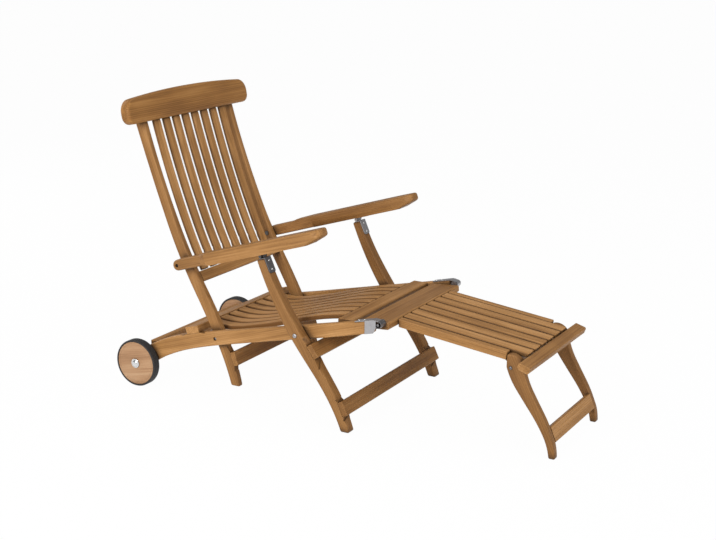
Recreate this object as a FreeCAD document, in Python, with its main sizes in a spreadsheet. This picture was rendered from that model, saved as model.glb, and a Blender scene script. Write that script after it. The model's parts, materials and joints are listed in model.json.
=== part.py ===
import FreeCAD
import Part
import math
import os

# Steamer deck chair with a leg rest and two wheels, in millimetres.
# +X points from the back to the leg rest, +Y to the sitter's left and +Z up.
# Side profiles are measured from the wheel axle; the finished pieces are moved
# so that the origin lies on the floor under the middle of the chair.

doc = FreeCAD.newDocument("SteamerDeckChair")
sheet = doc.addObject("Spreadsheet::Sheet", "Sizes")
row = 0


def size(name, value):
    """Write one driving size into the sheet under its own name."""
    global row
    row = row + 1
    sheet.set("A%d" % row, name)
    sheet.set("B%d" % row, str(value))
    sheet.setAlias("B%d" % row, name)
    return float(value)


def derived(name, formula):
    """Write one size that the sheet itself works out from the others."""
    global row
    row = row + 1
    sheet.set("A%d" % row, name)
    sheet.set("B%d" % row, "=" + formula)
    sheet.setAlias("B%d" % row, name)
    doc.recompute()
    return float(sheet.get(name))


# Wheels and axle
wheel_radius = size("wheel_radius", 76.0)
wheel_width = size("wheel_width", 28.0)
tyre_thickness = size("tyre_thickness", 5.5)
axle_radius = size("axle_radius", 6.0)
hub_cap_radius = size("hub_cap_radius", 15.0)
wheel_side_gap = size("wheel_side_gap", 4.0)

# Widths across the chair, each measured from the middle plane
rail_outer = size("rail_outer", 260.0)
rail_thickness = size("rail_thickness", 24.0)
stile_thickness = size("stile_thickness", 21.5)
leg_thickness = size("leg_thickness", 35.0)
leg_gap = size("leg_gap", 3.0)
side_clearance = size("side_clearance", 0.6)

# The folding linkage: back pivot, and the runs and rises of its two links
back_pivot_x = size("back_pivot_x", 292.0)
back_pivot_z = size("back_pivot_z", 197.0)
link_run = size("link_run", 317.0)
link_rise = size("link_rise", 73.0)
stay_run = size("stay_run", 120.0)
stay_rise = size("stay_rise", 223.0)
bolt_radius = size("bolt_radius", 4.0)
bolt_head_radius = size("bolt_head_radius", 8.0)
bolt_head_height = size("bolt_head_height", 3.0)
sunk_head_radius = size("sunk_head_radius", 5.5)
sunk_depth = size("sunk_depth", 6.0)
running_gap = size("running_gap", 0.09)
arc_fit = size("arc_fit", 0.8)

# Depths of the shaped members, seen from the side
rail_depth = size("rail_depth", 43.0)
rail_tail_depth = size("rail_tail_depth", 56.0)
stile_depth = size("stile_depth", 37.0)
leg_depth = size("leg_depth", 37.0)
foot_lift = size("foot_lift", 45.0)
back_height = size("back_height", 848.0)

# Back
crest_half_length = size("crest_half_length", 317.0)
crest_height = size("crest_height", 90.0)
crest_thickness = size("crest_thickness", 38.0)
crest_lean = size("crest_lean", 11.3)
crest_easing = size("crest_easing", 5.0)
back_slat_width = size("back_slat_width", 29.5)
back_slat_pitch = size("back_slat_pitch", 50.0)
back_slat_thickness = size("back_slat_thickness", 10.0)
back_rail_height = size("back_rail_height", 33.0)
back_rail_thickness = size("back_rail_thickness", 26.0)
slat_setback = size("slat_setback", 4.0)

# Seat
seat_slat_width = size("seat_slat_width", 40.0)
seat_slat_pitch = size("seat_slat_pitch", 49.4)
seat_slat_thickness = size("seat_slat_thickness", 15.0)
crossbar_width = size("crossbar_width", 49.0)
crossbar_thickness = size("crossbar_thickness", 24.0)
front_bar_width = size("front_bar_width", 52.0)
front_bar_thickness = size("front_bar_thickness", 24.0)

# Arms
arm_width = size("arm_width", 62.0)
arm_tail_width = size("arm_tail_width", 45.0)
arm_thickness = size("arm_thickness", 38.0)
arm_tail_radius = size("arm_tail_radius", 17.0)
arm_overhang = size("arm_overhang", 239.0)
arm_length = derived("arm_length", "link_run + arm_overhang")
arm_hinge_depth = size("arm_hinge_depth", 22.8716)

# Stretchers
stretcher_height = size("stretcher_height", 44.0)
stretcher_thickness = size("stretcher_thickness", 18.0)
housing_depth = size("housing_depth", 3.0)

# Leg rest
hinge_x = size("hinge_x", 867.0)
hinge_z = size("hinge_z", 334.0)
eye_radius = size("eye_radius", 13.0)
hinge_pin_radius = size("hinge_pin_radius", 4.0)
plate_thickness = size("plate_thickness", 2.0)
rest_slope = size("rest_slope", 6.8)
head_rail_width = size("head_rail_width", 95.0)
head_rail_thickness = size("head_rail_thickness", 21.0)
foot_slat_width = size("foot_slat_width", 38.7)
foot_slat_pitch = size("foot_slat_pitch", 49.3)
foot_slat_thickness = size("foot_slat_thickness", 15.0)
foot_rail_outer = size("foot_rail_outer", 174.5)
foot_rail_thickness = size("foot_rail_thickness", 23.0)
foot_rail_depth = size("foot_rail_depth", 25.0)
end_bar_half_length = size("end_bar_half_length", 215.0)
end_bar_width = size("end_bar_width", 33.0)
end_bar_thickness = size("end_bar_thickness", 21.0)
end_bar_rounding = size("end_bar_rounding", 5.0)
foot_pivot_back = size("foot_pivot_back", 35.2)
foot_pivot_drop = size("foot_pivot_drop", 44.3)
foot_leg_head = size("foot_leg_head", 39.0)
foot_leg_toe = size("foot_leg_toe", 19.0)
foot_leg_spread = size("foot_leg_spread", 131.0)

wheel_y = derived("wheel_y", "rail_outer + wheel_side_gap + wheel_width / 2")
rail_y = derived("rail_y", "rail_outer - rail_thickness / 2")
stile_y = derived("stile_y", "rail_outer - rail_thickness - side_clearance - stile_thickness / 2")
leg_y = derived("leg_y", "rail_outer + leg_gap + leg_thickness / 2")
foot_rail_y = derived("foot_rail_y", "foot_rail_outer - foot_rail_thickness / 2")
stretcher_length = derived("stretcher_length", "2 * (leg_y + leg_thickness / 2)")
rear_stretcher_length = derived("rear_stretcher_length", "2 * (stile_y + stile_thickness / 2)")
between_rails = derived("between_rails", "2 * (rail_outer - rail_thickness)")
between_stiles = derived("between_stiles", "2 * (stile_y - stile_thickness / 2)")
crossbar_length = derived("crossbar_length", "2 * rail_outer")
pieces = []


def flat(x, z):
    """A point of a side profile, in the plane of its sketch."""
    return FreeCAD.Vector(x, z, 0)


def heading(degrees):
    """A unit direction in a side profile, measured up from the forward axis."""
    return flat(math.cos(math.radians(degrees)), math.sin(math.radians(degrees)))


axle = flat(0, wheel_radius)
back_pivot = flat(back_pivot_x, back_pivot_z)
front_pivot = back_pivot + flat(link_run, link_rise)
arm_pivot = back_pivot + flat(-stay_run, stay_rise)
arm_hinge = front_pivot + flat(-stay_run, stay_rise)
rest_hinge = flat(hinge_x, hinge_z)


def across(tangent):
    """The direction to the left of a heading."""
    return flat(-tangent.y, tangent.x)


# Leg rest: it starts in front of its head rail, and its legs turn just behind its end bar
rest_heading = heading(-rest_slope)
rest_up = across(rest_heading)
head_tilt = size("head_tilt", 4.0)
head_front = size("head_front", 18.0)
head_along = heading(head_tilt)
head_end = rest_hinge + head_along * head_front - across(head_along) * (head_rail_thickness / 2)
rest_start = head_end + across(head_along) * (head_rail_thickness / 2 - 1)
slats_length = size("slats_length", 401.0)


def rest_point(along, up):
    """A point of the leg rest, along its slope and square up from the top of its slats."""
    return rest_start + rest_heading * along + rest_up * up


foot_pivot = rest_point(slats_length - foot_pivot_back, -foot_pivot_drop)
centre = derived("centre", "(%.4f + foot_leg_spread + foot_leg_toe / 2 - wheel_radius) / 2" % foot_pivot.x)


def spline(points):
    curve = Part.BSplineCurve()
    curve.interpolate(points)
    return curve


def line(start, end):
    return Part.LineSegment(start, end)


def polygon(points):
    """Straight sides through the points, closed back to the first one."""
    return [line(points[i - 1], points[i]) for i in range(len(points))]


def at_height(curve, z):
    """The point of a rising or falling curve at one height, and its direction there."""
    low = curve.FirstParameter
    high = curve.LastParameter
    rising = curve.value(high).y > curve.value(low).y
    for step in range(50):
        middle = (low + high) / 2
        if (curve.value(middle).y < z) == rising:
            low = middle
        else:
            high = middle
    tangent = curve.tangent(low)[0]
    return curve.value(low), tangent


def at_run(curve, x):
    """The height of a curve that runs forward, above one distance from the axle."""
    low = curve.FirstParameter
    high = curve.LastParameter
    forward = curve.value(high).x > curve.value(low).x
    for step in range(50):
        middle = (low + high) / 2
        if (curve.value(middle).x < x) == forward:
            low = middle
        else:
            high = middle
    return curve.value(low).y


class Member:
    """A shaped wooden member: a centre line through a few stations, with its depth at each."""

    def __init__(self, stations, start_cut=None, end_cut=None):
        points = [station[0] for station in stations]
        self.centre = spline(points)
        left = []
        right = []
        cuts = [start_cut] + [None] * (len(stations) - 2) + [end_cut]
        for (point, depth), cut in zip(stations, cuts):
            tangent = self.centre.tangent(self.centre.parameter(point))[0]
            normal = across(tangent)
            side = normal if cut is None else heading(cut)
            reach = depth / 2 / side.dot(normal)
            left.append(point + side * reach)
            right.append(point - side * reach)
        self.left = spline(left)
        self.right = spline(right)
        self.start = (left[0], right[0])
        self.end = (left[-1], right[-1])

    def outline(self, round_start=False):
        """The closed outline, with a rounded start where one is asked for."""
        start = line(*self.start)
        if round_start:
            middle = (self.start[0] + self.start[1]) * 0.5
            radius = self.start[0].distanceToPoint(middle)
            tangent = self.centre.tangent(self.centre.FirstParameter)[0]
            start = Part.Arc(self.start[0], middle - tangent * radius, self.start[1])
        return [self.left, self.right, start, line(*self.end)]


def board(middle, tilt, width, thickness, rounding):
    """The outline of a straight board seen end on, with its long side at a tilt."""
    along = heading(tilt)
    up = across(along)
    half_width = width / 2
    half_thickness = thickness / 2
    corners = [(1, 1), (-1, 1), (-1, -1), (1, -1)]
    edges = []
    ends = []
    for a, b in corners:
        corner = middle + along * (a * half_width) + up * (b * half_thickness)
        before = corner - up * (b * rounding) if a * b > 0 else corner - along * (a * rounding)
        after = corner - along * (a * rounding) if a * b > 0 else corner - up * (b * rounding)
        centre_point = corner - along * (a * rounding) - up * (b * rounding)
        bulge = centre_point + (along * a + up * b) * (rounding / math.sqrt(2))
        edges.append(Part.Arc(before, bulge, after))
        ends.append((before, after))
    for i in range(4):
        edges.append(line(ends[i - 1][1], ends[i][0]))
    return edges


def origin_plane(body, role):
    for feature in body.Origin.OriginFeatures:
        if feature.Role == role:
            return feature


def new_body(label):
    body = doc.addObject("PartDesign::Body", label)
    body.Label = label
    body.setExpression("Placement.Base.x", "-Sizes.centre")
    pieces.append(body)
    return body


def add_sketch(body, edges, role="XZ_Plane", offset=0.0):
    sketch = body.newObject("Sketcher::SketchObject", body.Name + "_sketch")
    sketch.AttachmentSupport = [(origin_plane(body, role), "")]
    sketch.MapMode = "FlatFace"
    sketch.AttachmentOffset = FreeCAD.Placement(FreeCAD.Vector(0, 0, offset), FreeCAD.Rotation())
    for edge in edges:
        curved = edge.TypeId == "Part::GeomBSplineCurve"
        for part in edge.toBiArcs(arc_fit) if curved else [edge]:
            sketch.addGeometry(part, False)
    return sketch


def add_pad(body, sketch, length):
    """Pad a sketch by a length from the sheet, half to each side of its plane."""
    pad = body.newObject("PartDesign::Pad", body.Name + "_pad")
    pad.Profile = sketch
    pad.Midplane = True
    pad.setExpression("Length", length)
    return pad


def add_cut(body, edges, role="XZ_Plane", offset=0.0, length=None):
    """Cut an outline through the body, or to a length centred on the sketch plane."""
    sketch = add_sketch(body, edges, role, offset)
    pocket = body.newObject("PartDesign::Pocket", body.Name + "_pocket")
    pocket.Profile = sketch
    pocket.Midplane = True
    if length is None:
        pocket.Type = "ThroughAll"
    else:
        pocket.setExpression("Length", length)
    return pocket


def profile_piece(label, outline, width, middle="0"):
    """A piece of constant side profile, centred across the chair on a middle distance."""
    body = new_body(label)
    body.setExpression("Placement.Base.y", middle)
    add_pad(body, add_sketch(body, outline), width)
    return body


def turn_piece(body, half):
    """Turn half a section into a full round about the crosswise axis."""
    turn = body.newObject("PartDesign::Revolution", body.Name + "_turn")
    turn.Profile = add_sketch(body, half, "XY_Plane")
    turn.ReferenceAxis = (turn.Profile[0], ["V_Axis"])
    turn.Angle = 360


def bore(body, point, radius):
    circle = Part.Circle(point, FreeCAD.Vector(0, 0, 1), radius)
    return add_cut(body, [circle])


def counterbore(body, point, face, radius):
    """Sink a wide hole into the face that lies at a distance from the sketch plane."""
    circle = Part.Circle(point, FreeCAD.Vector(0, 0, 1), radius)
    return add_cut(body, [circle], offset=-face, length="2 * Sizes.sunk_depth")


def ease_edges(body, width, chosen):
    """Take off the edges that a test picks out of the body's last shape."""
    doc.recompute()
    names = []
    for number, edge in enumerate(body.Tip.Shape.Edges, 1):
        if chosen(edge):
            names.append("Edge%d" % number)
    tip = body.Tip
    chamfer = body.newObject("PartDesign::Chamfer", body.Name + "_easing")
    chamfer.Base = (tip, names)
    chamfer.setExpression("Size", width)


def both_sides():
    return (("left", 1), ("right", -1))


# Bolts, pins and their heads lie along Y
crosswise = FreeCAD.Rotation(FreeCAD.Vector(1, 0, 0), -90)
fit_radius = bolt_radius + running_gap


def place_crosswise(item, point, start):
    """Lay an upright primitive along Y, from a start distance."""
    item.Placement = FreeCAD.Placement(FreeCAD.Vector(0, 0, point.y), crosswise)
    item.setExpression("Placement.Base.x", "%.6f - Sizes.centre" % point.x)
    item.setExpression("Placement.Base.y", start)


def cross_rod(name, point, start, length, radius):
    """A round rod along Y from a start distance, its sizes bound to the sheet."""
    rod = doc.addObject("Part::Cylinder", name)
    rod.setExpression("Radius", radius)
    rod.setExpression("Height", length)
    place_crosswise(rod, point, start)
    return rod


def join_rods(label, rods):
    joined = doc.addObject("Part::MultiFuse", label)
    joined.Label = label
    joined.Shapes = rods
    pieces.append(joined)
    return joined


def bolt(name, point, inner, outer, side, head_radius="Sizes.bolt_head_radius"):
    """A bolt from an inner to an outer face, with a head outside and a nut inside."""
    grip = "(%s - (%s))" % (outer, inner)
    head = "Sizes.bolt_head_height"
    wide = "Sizes.bolt_head_radius"
    if side > 0:
        starts = (inner, outer, "%s - %s" % (inner, head))
    else:
        starts = ("-(%s)" % outer, "-(%s) - %s" % (outer, head), "-(%s)" % inner)
    shank = cross_rod(name + "_shank", point, starts[0], grip, "Sizes.bolt_radius")
    cap = cross_rod(name + "_head", point, starts[1], head, head_radius)
    nut = doc.addObject("Part::Prism", name + "_nut")
    nut.Polygon = 6
    nut.setExpression("Circumradius", wide)
    nut.setExpression("Height", head)
    place_crosswise(nut, point, starts[2])
    return [shank, cap, nut]


# Seat frame
rail_knee_x = size("rail_knee_x", 129.0)
rail_knee_z = size("rail_knee_z", 151.0)
rail_knee = flat(rail_knee_x, rail_knee_z)
rail_nose_x = size("rail_nose_x", 850.0)
rail_nose_z = size("rail_nose_z", 326.0)
rail_nose = flat(rail_nose_x, rail_nose_z)
rail = Member([
    (axle, rail_tail_depth),
    (rail_knee, rail_tail_depth * 0.94),
    (back_pivot, rail_depth * 1.04),
    (front_pivot, rail_depth * 0.97),
    (rail_nose, rail_depth * 0.84),
], end_cut=90)

crossbar_x = size("crossbar_x", 208.0)
crossbar_tilt = size("crossbar_tilt", 15.4)
crossbar_sink = size("crossbar_sink", 2.0)


crossbar_up = across(heading(crossbar_tilt))
crossbar_middle = flat(crossbar_x, at_run(rail.left, crossbar_x)) + crossbar_up * (crossbar_thickness / 2 - crossbar_sink)
crossbar_outline = board(crossbar_middle, crossbar_tilt, crossbar_width, crossbar_thickness, 3)

for side, sign in both_sides():
    body = profile_piece("side_rail_" + side, rail.outline(round_start=True),
                         "Sizes.rail_thickness", "%d * Sizes.rail_y" % sign)
    add_cut(body, crossbar_outline)
    bore(body, axle, axle_radius)
    bore(body, back_pivot, fit_radius)
    bore(body, front_pivot, fit_radius)
    counterbore(body, back_pivot, sign * rail_thickness / 2, sunk_head_radius + running_gap)

profile_piece("rear_crossbar", crossbar_outline, "Sizes.crossbar_length")

beam_x = size("beam_x", 33.0)
beam_top = size("beam_top", 143.0)
beam_height = size("beam_height", 46.0)
beam_thickness = size("beam_thickness", 23.0)
beam_outline = board(flat(beam_x, beam_top - beam_height / 2), 90, beam_height, beam_thickness, 3)
profile_piece("axle_beam", beam_outline, "Sizes.between_rails")

front_bar_x = size("front_bar_x", 746.0)
front_bar_top = size("front_bar_top", 327.0)
front_bar_outline = board(flat(front_bar_x, front_bar_top - front_bar_thickness / 2), 0,
                          front_bar_width, front_bar_thickness, 6)
profile_piece("front_crossbar", front_bar_outline, "Sizes.between_rails")

# Seat slats: a shallow hollow behind and a swell under the knees
slat_start = crossbar_middle + heading(crossbar_tilt) * (crossbar_width / 2) + crossbar_up * 2
slat_end = flat(front_bar_x - front_bar_width / 2, front_bar_top - seat_slat_thickness / 2 - 1)
hip_x = size("hip_x", 320.0)
hip_z = size("hip_z", 219.0)
hip = flat(hip_x, hip_z)
hollow_x = size("hollow_x", 416.0)
hollow_z = size("hollow_z", 239.0)
hollow = flat(hollow_x, hollow_z)
swell_x = size("swell_x", 638.0)
swell_z = size("swell_z", 303.5)
swell = flat(swell_x, swell_z)
seat_slat = Member([
    (slat_start, seat_slat_thickness),
    (hip, seat_slat_thickness),
    (hollow, seat_slat_thickness),
    (swell, seat_slat_thickness),
    (slat_end, seat_slat_thickness),
], start_cut=90 + crossbar_tilt, end_cut=90)
for i in range(8):
    profile_piece("seat_slat_%d" % (i + 1), seat_slat.outline(),
                  "Sizes.seat_slat_width", "%.1f * Sizes.seat_slat_pitch" % (i - 3.5))

# Steel caps on the rail ends, each rolled into an eye for the leg rest
cap_back = size("cap_back", 824.0)
cap_top = at_run(rail.left, cap_back)
cap_bottom = at_run(rail.right, cap_back)
strap_back = size("strap_back", 790.0)
strap_top = at_run(rail.left, strap_back)
nose_top = rail.end[0].y
nose_bottom = rail.end[1].y
roll_start = rest_hinge + heading(92) * eye_radius
roll_end = rest_hinge + heading(-125) * eye_radius
roll = [
    line(flat(cap_back, cap_top + plate_thickness), flat(rail_nose.x, nose_top + plate_thickness)),
    line(flat(rail_nose.x, nose_top + plate_thickness), roll_start),
    Part.Arc(roll_start, rest_hinge + heading(0) * eye_radius, roll_end),
    line(roll_end, flat(rail_nose.x + plate_thickness, nose_bottom)),
]
for side, sign in both_sides():
    label = "rail_cap_" + side
    body = new_body(label)
    body.setExpression("Placement.Base.y", "%d * Sizes.rail_outer" % sign)
    strap = roll + [
        line(flat(rail_nose.x + plate_thickness, nose_bottom), flat(rail_nose.x, nose_bottom)),
        line(flat(rail_nose.x, nose_bottom), flat(rail_nose.x, nose_top)),
        line(flat(rail_nose.x, nose_top), flat(cap_back, cap_top)),
        line(flat(cap_back, cap_top), flat(strap_back, strap_top)),
        line(flat(strap_back, strap_top), flat(strap_back, strap_top + plate_thickness)),
        line(flat(strap_back, strap_top + plate_thickness),
             flat(cap_back, cap_top + plate_thickness)),
    ]
    sketch = add_sketch(body, strap, offset=sign * rail_thickness / 2)
    add_pad(body, sketch, "Sizes.rail_thickness")
    cheek = roll + [
        line(flat(rail_nose.x + plate_thickness, nose_bottom), flat(cap_back, cap_bottom)),
        line(flat(cap_back, cap_bottom), flat(cap_back, cap_top + plate_thickness)),
    ]
    sketch = add_sketch(body, cheek, offset=-sign * plate_thickness / 2)
    add_pad(body, sketch, "Sizes.plate_thickness")
    bore(body, rest_hinge, hinge_pin_radius + running_gap)

# Axle with a domed cap outside each wheel
cap_start = wheel_y + wheel_width / 2 + side_clearance
cap_dome = size("cap_dome", 6.0)
dome_radius = (hub_cap_radius ** 2 + cap_dome ** 2) / (2 * cap_dome)
dome_drop = dome_radius - math.sqrt(dome_radius ** 2 - hub_cap_radius ** 2 / 4)
body = new_body("axle")
body.setExpression("Placement.Base.z", "Sizes.wheel_radius")
half = [
    line(flat(0, -cap_start - cap_dome), flat(0, cap_start + cap_dome)),
    line(flat(axle_radius, -cap_start), flat(axle_radius, cap_start)),
]
for sign in (1, -1):
    half.append(line(flat(axle_radius, sign * cap_start), flat(hub_cap_radius, sign * cap_start)))
    half.append(Part.Arc(flat(hub_cap_radius, sign * cap_start),
                         flat(hub_cap_radius / 2, sign * (cap_start + cap_dome - dome_drop)),
                         flat(0, sign * (cap_start + cap_dome))))
turn_piece(body, half)

# Wheels: a turned wooden disc with a thin solid tyre
disc_radius = wheel_radius - tyre_thickness
disc_half = size("disc_half", 13.0)
for side, sign in both_sides():
    body = new_body("wheel_disc_" + side)
    body.setExpression("Placement.Base.y", "%d * Sizes.wheel_y" % sign)
    body.setExpression("Placement.Base.z", "Sizes.wheel_radius")
    hole = axle_radius + running_gap
    disc = polygon([
        flat(hole, -disc_half),
        flat(disc_radius, -disc_half),
        flat(disc_radius, disc_half),
        flat(hole, disc_half),
    ])
    turn_piece(body, disc)
    body = new_body("tyre_" + side)
    body.setExpression("Placement.Base.y", "%d * Sizes.wheel_y" % sign)
    body.setExpression("Placement.Base.z", "Sizes.wheel_radius")
    tread = polygon([
        flat(disc_radius, -wheel_width / 2),
        flat(wheel_radius, -wheel_width / 2),
        flat(wheel_radius, wheel_width / 2),
        flat(disc_radius, wheel_width / 2),
    ])
    turn_piece(body, tread)

# Pivot bolts through the rails: stiles inside them, front legs outside them
bolts = []
for side, sign in both_sides():
    bolts += bolt("back_bolt_" + side, back_pivot, "Sizes.stile_y - Sizes.stile_thickness / 2 - 0.3",
                  "Sizes.rail_outer - Sizes.sunk_depth", sign, "Sizes.sunk_head_radius")
    bolts += bolt("leg_bolt_" + side, front_pivot, "Sizes.rail_outer - Sizes.rail_thickness",
                  "Sizes.leg_y + Sizes.leg_thickness / 2 + 0.3", sign)
    washer_start = "Sizes.rail_outer" if sign > 0 else "-Sizes.rail_outer - Sizes.leg_gap + 0.3"
    bolts.append(cross_rod("leg_washer_" + side, front_pivot, washer_start, "Sizes.leg_gap - 0.3",
                           "Sizes.bolt_head_radius * 1.5"))
join_rods("pivot_bolts", bolts)

# Back: stiles that run on below the pivot as the rear legs
stile_foot_x = size("stile_foot_x", 347.0)
stile_foot = flat(stile_foot_x, foot_lift)
stile_neck_x = size("stile_neck_x", 97.0)
stile_neck_z = size("stile_neck_z", 593.0)
stile_neck = flat(stile_neck_x, stile_neck_z)
crest_front = size("crest_front", 34.0)
crest_deep = heading(crest_lean)
crest_foot = flat(crest_front, back_height) - crest_deep * (crest_thickness / 2)
stile_top_back = size("stile_top_back", 6.5)
stile_top = crest_foot - crest_deep * stile_top_back
stile = Member([
    (stile_foot, stile_depth * 0.81),
    (back_pivot, stile_depth),
    (arm_pivot, stile_depth * 0.97),
    (stile_neck, stile_depth * 0.85),
    (stile_top, stile_depth * 0.9),
], start_cut=180, end_cut=180 + crest_lean)

back_rail_z = size("back_rail_z", 377.0)
front_point, direction = at_height(stile.right, back_rail_z)
back_rail_tilt = math.degrees(math.atan2(direction.y, direction.x))
back_rail_middle = front_point + across(direction) * (back_rail_thickness / 2)
back_rail_outline = board(back_rail_middle, back_rail_tilt, back_rail_height, back_rail_thickness, 3)

rear_stretcher_z = size("rear_stretcher_z", 131.0)
front_point, direction = at_height(stile.right, rear_stretcher_z)
rear_stretcher_tilt = math.degrees(math.atan2(direction.y, direction.x))
rear_stretcher_middle = front_point - across(direction) * (stretcher_thickness / 2 - housing_depth)
rear_stretcher_outline = board(rear_stretcher_middle, rear_stretcher_tilt,
                               stretcher_height, stretcher_thickness, 3)

for side, sign in both_sides():
    body = profile_piece("stile_" + side, stile.outline(), "Sizes.stile_thickness",
                         "%d * Sizes.stile_y" % sign)
    add_cut(body, rear_stretcher_outline)
    bore(body, back_pivot, fit_radius)
    bore(body, arm_pivot, fit_radius)

profile_piece("lower_back_rail", back_rail_outline, "Sizes.between_stiles")
profile_piece("rear_leg_stretcher", rear_stretcher_outline, "Sizes.rear_stretcher_length")

# Back slats follow the stiles, set a little behind their front faces
inset = slat_setback + back_slat_thickness / 2
slat_low = back_rail_middle + heading(back_rail_tilt) * (back_rail_height / 2)
slat_low = slat_low - across(heading(back_rail_tilt)) * (back_rail_thickness / 2 - inset)
slat_points = [slat_low]
for share in (0.54, 0.70, 0.86):
    point, direction = at_height(stile.right, share * back_height)
    slat_points.append(point + across(direction) * inset)
slat_points.append(stile_top + crest_deep * (stile_depth * 0.42 - inset))
back_slat = Member([(point, back_slat_thickness) for point in slat_points],
                   start_cut=back_rail_tilt + 90, end_cut=180 + crest_lean)
for i in range(8):
    profile_piece("back_slat_%d" % (i + 1), back_slat.outline(),
                  "Sizes.back_slat_width", "%.1f * Sizes.back_slat_pitch" % (i - 3.5))

# Crest rail: flat below, bowed above, with rounded ends
body = new_body("crest_rail")
body.Placement = FreeCAD.Placement(FreeCAD.Vector(0, 0, crest_foot.y),
                                   FreeCAD.Rotation(FreeCAD.Vector(0, 1, 0), -crest_lean))
body.setExpression("Placement.Base.x", "%.6f - Sizes.centre" % crest_foot.x)
flat_half = crest_half_length * 0.77
shoulder_half = crest_half_length * 0.945
crown = spline([
    flat(crest_half_length, crest_height * 0.43),
    flat(shoulder_half, crest_height * 0.73),
    flat(crest_half_length * 0.62, crest_height * 0.93),
    flat(0, crest_height),
    flat(-crest_half_length * 0.62, crest_height * 0.93),
    flat(-shoulder_half, crest_height * 0.73),
    flat(-crest_half_length, crest_height * 0.43),
])
crest_edges = [line(flat(-flat_half, 0), flat(flat_half, 0)), crown]
for sign in (1, -1):
    crest_edges.append(spline([
        flat(sign * flat_half, 0),
        flat(sign * shoulder_half, crest_height * 0.14),
        flat(sign * crest_half_length, crest_height * 0.43),
    ]))
add_pad(body, add_sketch(body, crest_edges, "YZ_Plane"), "Sizes.crest_thickness")
ease_edges(body, "Sizes.crest_easing", lambda edge: edge.BoundBox.XLength < arc_fit)

# Arms, each drawn from above and then cut to its side profile
arm_tail_inner = size("arm_tail_inner", 238.0)
arm_inner = size("arm_inner", 249.0)
arm_outer = derived("arm_outer", "arm_inner + arm_width")
arm_top = size("arm_top", 21.0)
arm_bottom = arm_top - arm_thickness
shoulder_start = size("shoulder_start", 90.0)
shoulder_end = size("shoulder_end", 132.0)
tip_round = size("tip_round", 26.0)
tip_rake = size("tip_rake", 52.0)
recess_run = size("recess_run", 78.0)
recess_peak = size("recess_peak", 20.0)
recess_height = size("recess_height", 15.5)
leaf_length = size("leaf_length", 48.0)
leaf_width = size("leaf_width", 31.5)
knuckle_radius = size("knuckle_radius", 5.0)
knuckle_gap = size("knuckle_gap", 0.6)
hinge_drop = arm_hinge - arm_pivot
link_slope = math.degrees(math.atan2(link_rise, link_run))
arm_slope = link_slope + math.degrees(math.asin(arm_hinge_depth / hinge_drop.Length))
arm_heading = heading(arm_slope)
hinge_local = flat(hinge_drop.dot(arm_heading), hinge_drop.dot(across(arm_heading)))
tilt_up = FreeCAD.Rotation(FreeCAD.Vector(0, 1, 0), -arm_slope)
tail_outer = arm_tail_inner + arm_tail_width
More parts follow.
